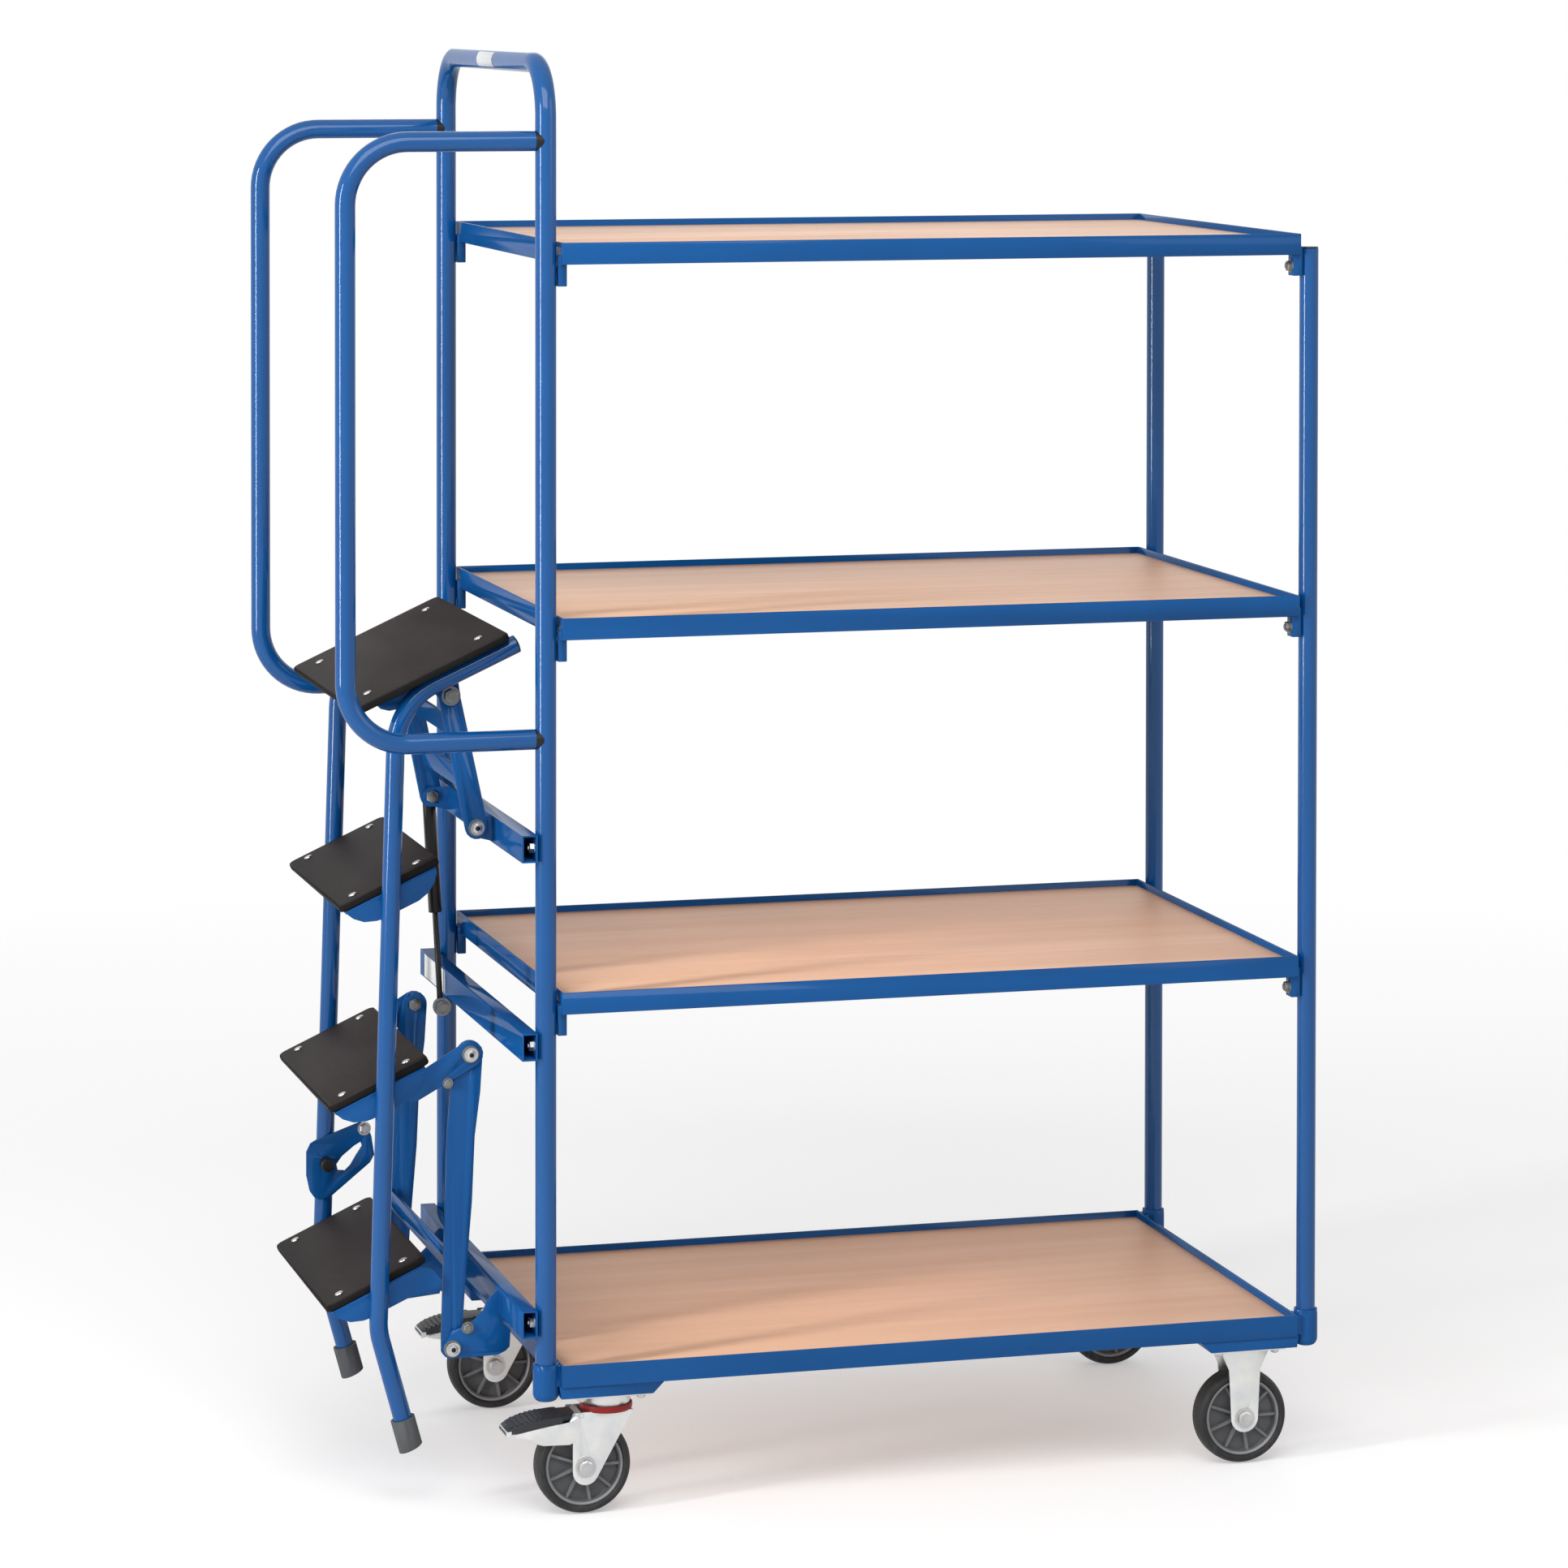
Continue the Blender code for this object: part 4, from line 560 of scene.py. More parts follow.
@dataclass(frozen=True)
class ZincPlate(Finish):
    """Bright zinc plating: cool grey with faint clouds, drawn scratches and dull patches."""

    grain: float = 900.0
    depth: float = 0.03 * MM
    drawn: Rgb = (1.0, 1.0, 0.12)
    cloud: Rgb = (0.74, 0.735, 0.70)
    cloud_scale: float = 38.0
    sheen: Pair = (-0.08, 0.14)

    def pattern(self, canvas: Canvas) -> None:
        """Adds clouds of tone and roughness and fine scratches.

        Args:
            canvas: the material under construction.
        """
        shader = canvas.shader
        clouds = shader.ranged(shader.noise(canvas.place, self.cloud_scale, 5.0), 0.0, 1.0)
        canvas.set("Base Color", shader.mixed(clouds, self.colour, self.cloud))
        smooth, rough = (self.roughness + change for change in self.sheen)
        canvas.set("Roughness", shader.ranged(clouds, smooth, rough, start=0.0, end=1.0))
        canvas.roughen(shader.stretched(canvas.place, self.drawn), self.grain, self.depth)


@dataclass(frozen=True)
class Rubber(Finish):
    """Moulded rubber: matt, with a fine grain and pale dust."""

    grain: float = 1100.0
    depth: float = 0.08 * MM
    dust: Rgb = (0.16, 0.155, 0.15)
    dust_share: float = 0.3

    def pattern(self, canvas: Canvas) -> None:
        """Adds the grain and the dust.

        Args:
            canvas: the material under construction.
        """
        shader = canvas.shader
        canvas.roughen(canvas.place, self.grain, self.depth)
        share = shader.ranged(canvas.marks(patch=16.0, scuff=90.0), 0.04, self.dust_share, start=0.0, end=1.0)
        canvas.set("Base Color", shader.mixed(share, self.colour, self.dust))


@dataclass
class Shared:
    """The shader groups and the finished materials of the whole trolley."""

    relief: NodeTree
    handling: NodeTree
    made: dict[str, Material] = field(default_factory=dict)

    def get(self, finish: Finish) -> Material:
        """The material of a finish, made once.

        Args:
            finish: the finish.

        Returns:
            Its material.
        """
        if finish.name not in self.made:
            self.made[finish.name] = finish.material(self)
        return self.made[finish.name]


BLUE = PowderCoat("blue_powder_coat", (0.006, 0.081, 0.270), 0.4, specular=0.0)
TUBE_BLUE = PowderCoat(
    "blue_powder_coat_on_tube", (0.003, 0.076, 0.262), 0.4, specular=0.0, gloss=0.75
)
BEECH = BeechDecor("beech_board", (0.78, 0.48, 0.32), 0.5, specular=0.08)
FILM = FilmFace("film_faced_step", (0.026, 0.0205, 0.020), 0.6, specular=0.04)
ZINC = ZincPlate("bright_zinc", (0.61, 0.63, 0.65), 0.34, 0.9)
BOLT = ZincPlate("zinc_fastener", (0.44, 0.45, 0.47), 0.28, 0.95, cloud=(0.56, 0.55, 0.53))
TYRE = Rubber("tyre_rubber", (0.014, 0.014, 0.015), 0.62)
FOOT = Rubber("foot_rubber", (0.070, 0.075, 0.080), 0.7, dust=(0.2, 0.2, 0.2), dust_share=0.2)
HUB = Finish("hub_plastic", (0.105, 0.107, 0.112), 0.5)
# The spokes and the rim's rings are the hub's plastic painted lighter, as painted highlight on their raised
# faces.
HUB_RIB_PAINTED_LIT = Finish("hub_rib_plastic", (0.17, 0.173, 0.18), 0.5)
HUB_RING_PAINTED_LIT = Finish("rim_ring_plastic", (0.27, 0.275, 0.285), 0.46)
PEDAL = Finish("pedal_plastic", (0.030, 0.032, 0.036), 0.5)
PLUG = Finish("plug_plastic", (0.006, 0.006, 0.007), 0.42)
RED = Finish("red_dust_ring", (0.28, 0.012, 0.014), 0.42)
# Zinc darkened as painted shade: it stands for the dark surroundings that these bolts, washers and nuts
# reflect.
SHADED_ZINC = ZincPlate("dull_zinc", (0.16, 0.165, 0.175), 0.4, 0.8, cloud=(0.24, 0.24, 0.23))
ENAMEL = Finish("black_enamel", (0.006, 0.006, 0.007), 0.3)
PALE_LABEL = Finish("bare_label_film", (0.80, 0.80, 0.79), 0.4)
BARE_PLATE = Finish("bare_plate", (0.66, 0.67, 0.68), 0.35, 0.6)

Look = tuple[Finish, str]
BLUE_PAINT: Look = (BLUE, "blue_paint")
BLACK_PLUG: Look = (PLUG, "black_steel")


class Tree:
    """A Geometry Nodes tree with named inputs."""

    def __init__(self, name: str, inputs: Sequence[tuple[str, str]]) -> None:
        """Starts the tree.

        Args:
            name: the tree's name.
            inputs: name and socket type of each input after the geometry.
        """
        self.tree = bpy.data.node_groups.new(name, "GeometryNodeTree")
        face = self.tree.interface
        face.new_socket("Geometry", in_out="INPUT", socket_type="NodeSocketGeometry")
        face.new_socket("Geometry", in_out="OUTPUT", socket_type="NodeSocketGeometry")
        for label, kind in inputs:
            face.new_socket(label, in_out="INPUT", socket_type=f"NodeSocket{kind}")
        self.given = self.add("NodeGroupInput")
        self.result = self.add("NodeGroupOutput")

    def add(self, kind: str, values: dict[str, Any] | None = None, **settings: Any) -> Node:
        """Adds a node.

        Args:
            kind: the node's type.
            values: numbers, or sockets to join, for its inputs by name.
            settings: properties of the node, by name.

        Returns:
            The new node.
        """
        node = self.tree.nodes.new(kind)
        for key, value in settings.items():
            setattr(node, key, value)
        for key, value in (values or {}).items():
            if isinstance(value, Socket):
                self.tree.links.new(value, node.inputs[key])
            else:
                node.inputs[key].default_value = value
        return node

    def times(self, value: Socket, factor: float) -> Socket:
        """A socket's number times a factor."""
        return self.add("ShaderNodeMath", {0: value, 1: factor}, operation="MULTIPLY").outputs[0]

    def lifted(self, geometry: Socket, height: Socket) -> Socket:
        """A geometry moved up by a height."""
        place = self.add("ShaderNodeCombineXYZ", {"Z": height}).outputs[0]
        return self.add("GeometryNodeTransform", {"Geometry": geometry, "Translation": place}).outputs[0]

    def joined(self, pieces: Sequence[Socket]) -> Socket:
        """Joins several geometries.

        Args:
            pieces: the geometries.

        Returns:
            The joined geometry.
        """
        join = self.add("GeometryNodeJoinGeometry")
        for piece in reversed(pieces):
            self.tree.links.new(piece, join.inputs[0])
        return join.outputs[0]

    def close(self, geometry: Socket) -> None:
        """Ends the tree: instances made real, with the given material.

        Args:
            geometry: what the tree gives.
        """
        real = self.add("GeometryNodeRealizeInstances", {"Geometry": geometry}).outputs[0]
        given = {"Geometry": real, "Material": self.given.outputs["Material"]}
        dressed = self.add("GeometryNodeSetMaterial", given)
        self.tree.links.new(dressed.outputs[0], self.result.inputs[0])

    def run(self, source: Piece, name: str, **values: Any) -> Piece:
        """Runs the tree on an object and keeps the result as a plain mesh.

        Args:
            source: the object that the tree starts from, which is then removed.
            name: the new piece's name.
            values: the tree's inputs by name, with an underscore for each space.

        Returns:
            The new piece.
        """
        modifier = source.modifiers.new("nodes", "NODES")
        modifier.node_group = self.tree
        for item in self.tree.interface.items_tree:
            key = item.name.replace(" ", "_")
            if item.item_type == "SOCKET" and item.in_out == "INPUT" and key in values:
                modifier[item.identifier] = values[key]
        seen = source.evaluated_get(bpy.context.evaluated_depsgraph_get())
        mesh = bpy.data.meshes.new_from_object(seen)
        bpy.data.objects.remove(source, do_unlink=True)
        return piece_of(name, mesh)


def piece_of(name: str, mesh: Mesh) -> Piece:
    """Puts a mesh into the scene.

    Args:
        name: the piece's name.
        mesh: its mesh.

    Returns:
        The new piece.
    """
    mesh.name = name
    made = bpy.data.objects.new(name, mesh)
    bpy.context.scene.collection.objects.link(made)
    return made


def points_object(name: str, points: Sequence[Vector], edges: Sequence[tuple[int, int]] = ()) -> Piece:
    """Makes loose points, or points joined by edges.

    Args:
        name: the piece's name.
        points: the points.
        edges: pairs of points, by their place in the list.

    Returns:
        The new piece.
    """
    mesh = bpy.data.meshes.new(name)
    mesh.from_pydata([tuple(point) for point in points], list(edges), [])
    return piece_of(name, mesh)


def dress(piece: Piece, material: Material, sharp: float = SHARP_ANGLE) -> Piece:
    """Gives a piece one material and smooth faces with sharp edges kept.

    Args:
        piece: the piece.
        material: its material.
        sharp: the angle above which an edge stays sharp.

    Returns:
        The same piece.
    """
    piece.data.materials.clear()
    piece.data.materials.append(material)
    piece.data.shade_smooth()
    piece.data.set_sharp_from_angle(angle=sharp)
    return piece


class TubeBender:
    """Bends round tube along a path of corners, with Geometry Nodes."""

    BEND_STEPS = 16
    ROUND_STEPS = 36
    SHARP = math.radians(50)

    def __init__(self) -> None:
        """Builds the tree: a path with filleted corners, and a ring along it."""
        self.kit = Tree(
            "bent_tube",
            (("Radius", "Float"), ("Bend Radius", "Float"), ("Bend Steps", "Int"), ("Sides", "Int"),
             ("Material", "Material")),
        )
        given = self.kit.given.outputs
        path = self.kit.add("GeometryNodeMeshToCurve", {"Mesh": given["Geometry"]})
        bent = self.kit.add(
            "GeometryNodeFilletCurve",
            {"Curve": path.outputs[0], "Radius": given["Bend Radius"], "Count": given["Bend Steps"]},
            mode="POLY",
        )
        ring = self.kit.add(
            "GeometryNodeCurvePrimitiveCircle", {"Radius": given["Radius"], "Resolution": given["Sides"]}
        )
        body = self.kit.add(
            "GeometryNodeCurveToMesh",
            {"Curve": bent.outputs[0], "Profile Curve": ring.outputs[0], "Fill Caps": True},
        )
        self.kit.close(body.outputs[0])

    def bend(self, name: str, corners: Path, radius: float, bend_radius: float, material: Material) -> Piece:
        """Makes one tube.

        Args:
            name: the piece's name.
            corners: the path's ends and corners.
            radius: the tube's outer radius.
            bend_radius: the bend radius at the tube's middle.
            material: its material.

        Returns:
            The new piece.
        """
        edges = [(index, index + 1) for index in range(len(corners) - 1)]
        source = points_object(name, corners, edges)
        tube = self.kit.run(
            source, name, Radius=radius, Bend_Radius=bend_radius, Bend_Steps=self.BEND_STEPS,
            Sides=self.ROUND_STEPS, Material=material,
        )
        return outward(dress(tube, material, self.SHARP))


def outward(piece: Piece) -> Piece:
    """Turns a closed piece's faces outwards.

    Args:
        piece: the piece.

    Returns:
        The same piece.
    """
    form = bmesh.new()
    form.from_mesh(piece.data)
    bmesh.ops.remove_doubles(form, verts=form.verts, dist=0.001 * MM)
    bmesh.ops.recalc_face_normals(form, faces=form.faces)
    form.to_mesh(piece.data)
    form.free()
    return piece


class Head(Enum):
    """The kind of fastener head."""

    HEX = "hex"
    SCREW = "screw"


class Fasteners:
    """Sets rows of bolts, nuts and screws on points, with Geometry Nodes.

    HEX_DRUMS gives the hexagon, the washer and the bolt's end: the number of sides, the radius as a
    share of the head's radius, and the depth and the middle's height as shares of the head's height.
    """

    INPUTS = (("Radius", "Float"), ("Height", "Float"), ("Seed", "Int"), ("Material", "Material"))
    HEX_DRUMS = ((6, 1.0, 0.7, 0.5), (28, 1.32, 0.2, 0.1), (16, 0.5, 0.5, 0.95))
    HEX_SIDES = 6
    CHAMFER_RADIUS = 0.84
    CHAMFER_DEPTH = 0.15
    CHAMFER_LIFT = 0.85
    SCREW_SIDES = 28
    SCREW_RIM = 0.86
    SLOT_LONG = 0.7
    SLOT_WIDE = 0.14
    SLOT_LIFT = 0.95

    def __init__(self) -> None:
        """Builds one tree for each kind of head."""
        self.kits = {Head.HEX: self.hex_kit(), Head.SCREW: self.screw_kit()}

    def start(self, name: str) -> Tree:
        """A tree with the inputs of a fastener."""
        return Tree(name, self.INPUTS)

    def set_on_points(self, kit: Tree, head: Socket) -> None:
        """Ends a tree: the head stands on each point, along the point's facing, turned by chance.

        Args:
            kit: the tree.
            head: the head's geometry.
        """
        given = kit.given.outputs
        named = kit.add("GeometryNodeInputNamedAttribute", {"Name": "facing"}, data_type="FLOAT_VECTOR")
        facing = named.outputs[0]
        upright = kit.add("FunctionNodeAlignRotationToVector", {"Vector": facing}, axis="Z")
        chance = kit.add("FunctionNodeRandomValue", data_type="FLOAT")
        chance.inputs[3].default_value = math.tau
        kit.tree.links.new(given["Seed"], chance.inputs["Seed"])
        about = {"Axis": (0.0, 0.0, 1.0), "Angle": chance.outputs[1]}
        spin = kit.add("FunctionNodeAxisAngleToRotation", about)
        turned = kit.add(
            "FunctionNodeRotateRotation", {"Rotation": upright.outputs[0], "Rotate By": spin.outputs[0]},
            rotation_space="LOCAL",
        )
        rows = kit.add(
            "GeometryNodeInstanceOnPoints",
            {"Points": given["Geometry"], "Instance": head, "Rotation": turned.outputs[0]},
        )
        kit.close(rows.outputs[0])

    def hex_kit(self) -> Tree:
        """A hexagon head on a washer, with a chamfered top and the bolt's end.

        Returns:
            The tree.
        """
        kit = self.start("hexagon_head")
        radius, height = kit.given.outputs["Radius"], kit.given.outputs["Height"]
        chamfer = kit.add(
            "GeometryNodeMeshCone",
            {"Vertices": self.HEX_SIDES, "Radius Top": kit.times(radius, self.CHAMFER_RADIUS),
             "Radius Bottom": radius, "Depth": kit.times(height, self.CHAMFER_DEPTH)},
        )
        pieces = [kit.lifted(chamfer.outputs["Mesh"], kit.times(height, self.CHAMFER_LIFT))]
        for sides, wide, deep, lift in self.HEX_DRUMS:
            size = {"Vertices": sides, "Radius": kit.times(radius, wide), "Depth": kit.times(height, deep)}
            drum = kit.add("GeometryNodeMeshCylinder", size).outputs["Mesh"]
            pieces.append(kit.lifted(drum, kit.times(height, lift)))
        self.set_on_points(kit, kit.joined(pieces))
        return kit

    def screw_kit(self) -> Tree:
        """A low countersunk head with a cross recess.

        Returns:
            The tree.
        """
        kit = self.start("countersunk_head")
        radius, height = kit.given.outputs["Radius"], kit.given.outputs["Height"]
        plate = kit.add(
            "GeometryNodeMeshCone",
            {"Vertices": self.SCREW_SIDES, "Radius Top": kit.times(radius, self.SCREW_RIM),
             "Radius Bottom": radius, "Depth": height},
        )
        head = kit.lifted(plate.outputs["Mesh"], kit.times(height, 0.5))
        slots = []
        for wide, narrow in ((self.SLOT_LONG, self.SLOT_WIDE), (self.SLOT_WIDE, self.SLOT_LONG)):
            size = kit.add(
                "ShaderNodeCombineXYZ",
                {"X": kit.times(radius, wide), "Y": kit.times(radius, narrow), "Z": height},
            ).outputs[0]
            slot = kit.add("GeometryNodeMeshCube", {"Size": size}).outputs["Mesh"]
            slots.append(kit.lifted(slot, kit.times(height, self.SLOT_LIFT)))
        cut = kit.add("GeometryNodeMeshBoolean", {"Mesh 1": head}, operation="DIFFERENCE", solver="EXACT")
        for slot in slots:
            kit.tree.links.new(slot, cut.inputs["Mesh 2"])
        self.set_on_points(kit, cut.outputs["Mesh"])
        return kit

    def place(
        self, name: str, head: Head, spots: Sequence[Stand], radius: float, height: float,
        material: Material,
    ) -> Piece:
        """Sets fasteners on spots.

        Args:
            name: the piece's name.
            head: the kind of head.
            spots: the place and the facing direction of each fastener.
            radius: the head's radius.
            height: the head's height.
            material: its material.

        Returns:
            One piece that holds them all.
        """
        source = points_object(name, [spot for spot, _ in spots])
        facing = source.data.attributes.new("facing", "FLOAT_VECTOR", "POINT")
        facing.data.foreach_set("vector", [value for _, way in spots for value in way])
        made = self.kits[head].run(
            source, name, Radius=radius, Height=height, Seed=SEED, Material=material
        )
        return dress(made, material)


def mesh_of(form: Form, name: str) -> Mesh:
    """Turns a finished form into a mesh and frees it.

    Args:
        form: the form.
        name: the mesh's name.

    Returns:
        The new mesh.
    """
    mesh = bpy.data.meshes.new(name)
    form.to_mesh(mesh)
    form.free()
    return mesh


def skinned(form: Form, loops: Sequence[Sequence[Corner]]) -> None:
    """Closes a body over loops of equally many points, with a face over each end.

    Args:
        form: the form that holds the points.
        loops: the loops in order, each with its points in the same order.
    """
    form.faces.new(loops[0])
    form.faces.new(list(reversed(loops[-1])))
    for first, second in zip(loops, loops[1:]):
        for index in range(len(first)):
            after = (index + 1) % len(first)
            form.faces.new((first[index], first[after], second[after], second[index]))
    bmesh.ops.recalc_face_normals(form, faces=form.faces)


class Lathe:
    """Turns closed rings from (radius, distance along the axis) profiles."""

    def __init__(self, steps: int = 64) -> None:
        """Turns with a number of steps round the axis."""
        self.steps = steps

    def turn(self, name: str, profile: Outline, middle: Vector, axis: Vector, material: Material) -> Piece:
        """Turns a profile round an axis.

        Args:
            name: the piece's name.
            profile: closed outline, or an open one whose two ends lie on the axis.
            middle: the point that distance zero lies at.
            axis: the axis's direction.
            material: the piece's material.

        Returns:
            The new piece.
        """
        form = bmesh.new()
        points = [form.verts.new((radius, 0.0, along)) for radius, along in profile]
        edges = [form.edges.new(pair) for pair in zip(points, points[1:])]
        if min(profile[0][0], profile[-1][0]) > 0:
            edges.append(form.edges.new((points[-1], points[0])))
        bmesh.ops.spin(
            form, geom=points + edges, cent=(0, 0, 0), axis=(0, 0, 1), angle=math.tau, steps=self.steps,
            use_merge=True,
        )
        bmesh.ops.remove_doubles(form, verts=form.verts, dist=0.002 * MM)
        bmesh.ops.recalc_face_normals(form, faces=form.faces)
        turn = Vector((0, 0, 1)).rotation_difference(axis).to_matrix().to_4x4()
        form.transform(Matrix.Translation(middle) @ turn)
        return dress(piece_of(name, mesh_of(form, name)), material)


def rounded(profile: Outline, radius: float, steps: int = 4) -> list[tuple[float, float]]:
    """An open profile with its inner corners rounded.

    Args:
        profile: the profile's corners.
        radius: how far each corner's curve reaches along its two sides.
        steps: how many lines make a curve.

    Returns:
        The points of the rounded profile.
    """
    points = [Vector(point) for point in profile]
    path = [points[0]]
    for before, corner, after in zip(points, points[1:], points[2:]):
        back, on = before - corner, after - corner
        reach = min(radius, back.length / 2.1, on.length / 2.1)
        start, end = corner + back.normalized() * reach, corner + on.normalized() * reach
        for step in range(steps + 1):
            share = step / steps
            path.append(start.lerp(corner, share).lerp(corner.lerp(end, share), share))
    path.append(points[-1])
    return [(point.x, point.y) for point in path]


@dataclass(frozen=True)
class Press:
    """Makes finer copies of sheet and bar solids, with edges rounded as on pressed or sawn metal."""

    flat_angle: float = math.radians(0.6)
    edge_angle: float = math.radians(38)
    sharp_angle: float = math.radians(42)
    segments: int = 2

    def copy(self, name: str, node: str, material: Material, edge: float) -> Piece:
        """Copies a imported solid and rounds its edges.

        Args:
            name: the piece's name.
            node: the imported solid.
            material: the piece's material.
            edge: how wide each rounded edge is.

        Returns:
            The new piece, which replaces the solid.
        """
        form = bmesh.new()
        form.from_mesh(bpy.data.objects[node].data)
        bmesh.ops.remove_doubles(form, verts=form.verts, dist=0.01 * MM)
        bmesh.ops.dissolve_limit(
            form, angle_limit=self.flat_angle, verts=form.verts, edges=form.edges,
            use_dissolve_boundaries=False,
        )
        source = piece_of(name, mesh_of(form, name))
        bevel = source.modifiers.new("edges", "BEVEL")
        bevel.width = edge
        bevel.segments = self.segments
        bevel.limit_method = "ANGLE"
        bevel.angle_limit = self.edge_angle
        bevel.use_clamp_overlap = True
        source.modifiers.new("shading", "WEIGHTED_NORMAL")
        seen = source.evaluated_get(bpy.context.evaluated_depsgraph_get())
        result = bpy.data.meshes.new_from_object(seen)
        bpy.data.objects.remove(source, do_unlink=True)
        made = dress(piece_of(name, result), material, self.sharp_angle)
        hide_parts(node)
        return made


class SpokeMaker:
    """Makes the ring of spokes between a wheel's hub and rim, with Geometry Nodes."""

    def __init__(self) -> None:
        """Builds the tree: bars from an inner to an outer radius, spread evenly round Z."""
        kit = Tree(
            "spoke_ring",
            (("Count", "Int"), ("Inner", "Float"), ("Outer", "Float"), ("Width", "Float"),
             ("Thickness", "Float"), ("Material", "Material")),
        )
        given = kit.given.outputs
        ends = {0: given["Outer"], 1: given["Inner"]}
        length = kit.add("ShaderNodeMath", ends, operation="SUBTRACT").outputs[0]
        sides = {"X": length, "Y": given["Thickness"], "Z": given["Width"]}
        size = kit.add("ShaderNodeCombineXYZ", sides).outputs[0]
        bar = kit.add("GeometryNodeMeshCube", {"Size": size}).outputs["Mesh"]
        middle_out = kit.times(kit.add("ShaderNodeMath", ends).outputs[0], 0.5)
        shift = kit.add("ShaderNodeCombineXYZ", {"X": middle_out}).outputs[0]
        moved = kit.add("GeometryNodeTransform", {"Geometry": bar, "Translation": shift}).outputs[0]
        index = kit.add("GeometryNodeInputIndex").outputs[0]
        turn = kit.add("ShaderNodeMath", {0: math.tau, 1: given["Count"]}, operation="DIVIDE").outputs[0]
        angle = kit.add("ShaderNodeMath", {0: index, 1: turn}, operation="MULTIPLY").outputs[0]
        spin = kit.add("ShaderNodeCombineXYZ", {"Z": angle}).outputs[0]
        spots = kit.add("GeometryNodePoints", {"Count": given["Count"]}).outputs[0]
        rows = {"Points": spots, "Instance": moved, "Rotation": spin}
        kit.close(kit.add("GeometryNodeInstanceOnPoints", rows).outputs[0])
        self.kit = kit

    def make(self, name: str, middle: Vector, material: Material, **sizes: float) -> Piece:
        """Makes one ring of spokes round an axle along Y.

        Args:
            name: the piece's name.
            middle: the wheel's middle.
            material: the piece's material.
            sizes: Count, Inner, Outer, Width and Thickness of the spokes.

        Returns:
            The new piece.
        """
        source = points_object("spokes", [Vector((0, 0, 0))])
        ribs = self.kit.run(source, name, Material=material, **sizes)
        ribs.data.transform(Matrix.Translation(middle) @ Matrix.Rotation(math.pi / 2, 4, "X"))
        return dress(ribs, material)


@dataclass
class Bench:
    """What every sub-assembly works with: finishes and the tools that make pieces."""

    shared: Shared
    tubes: TubeBender
    fasteners: Fasteners
    lathe: Lathe
    press: Press
    spokes: SpokeMaker

    def finish(self, finish: Finish) -> Material:
        """The material of a finish."""
        return self.shared.get(finish)

    def fit(self, piece: Piece, body: str, slot: str, *nodes: str) -> None:
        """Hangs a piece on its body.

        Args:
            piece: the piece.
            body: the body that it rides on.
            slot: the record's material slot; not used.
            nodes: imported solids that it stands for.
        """
        if nodes:
            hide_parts(*nodes)
        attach(piece, body)
        LOG.info("%s rides on %s, %d faces", piece.name, body, len(piece.data.polygons))

    def pressed(self, node: str, body: str, finish: Finish, slot: str, edge: float) -> None:
        """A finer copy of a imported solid, under the solid's name with a prefix.

        Args:
            node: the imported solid.
            body: the body that it rides on.
            finish: the copy's finish.
            slot: the record's material slot.
            edge: how wide each rounded edge is.
        """
        self.fit(self.press.copy(f"fine_{node}", node, self.finish(finish), edge), body, slot)

    def tube(self, name: str, body: str, corners: Path, radius: float, bend: float, node: str) -> None:
        """A blue bent tube.

        Args:
            name: the piece's name.
            body: the body that it rides on.
            corners: the path's ends and corners.
            radius: the tube's outer radius.
            bend: the bend radius at the tube's middle.
            node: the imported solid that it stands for.
        """
        made = self.tubes.bend(name, corners, radius, bend, self.finish(TUBE_BLUE))
        self.fit(made, body, "blue_paint", node)

    def turned(self, name: str, body: str, look: Look, profile: Outline, stand: Stand, *nodes: str) -> None:
        """A turned piece.

        Args:
            name: the piece's name.
            body: the body that it rides on.
            look: its finish and the record's material slot.
            profile: its profile, as the lathe takes it.
            stand: the point that distance zero lies at, and the axis's direction.
            nodes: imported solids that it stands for.
        """
        finish, slot = look
        made = self.lathe.turn(name, profile, *stand, self.finish(finish))
        self.fit(made, body, slot, *nodes)

    def fastened(
        self, name: str, body: str, spots: Sequence[Stand], size: Pair, finish: Finish, head: Head = Head.HEX
    ) -> None:
        """A row of fasteners.

        Args:
            name: the piece's name.
            body: the body that they ride on.
            spots: the place and the facing of each fastener.
            size: the head's radius and height.
            finish: their finish.
            head: the kind of head.
        """
        made = self.fasteners.place(name, head, spots, *size, self.finish(finish))
        self.fit(made, body, "bolt_steel")


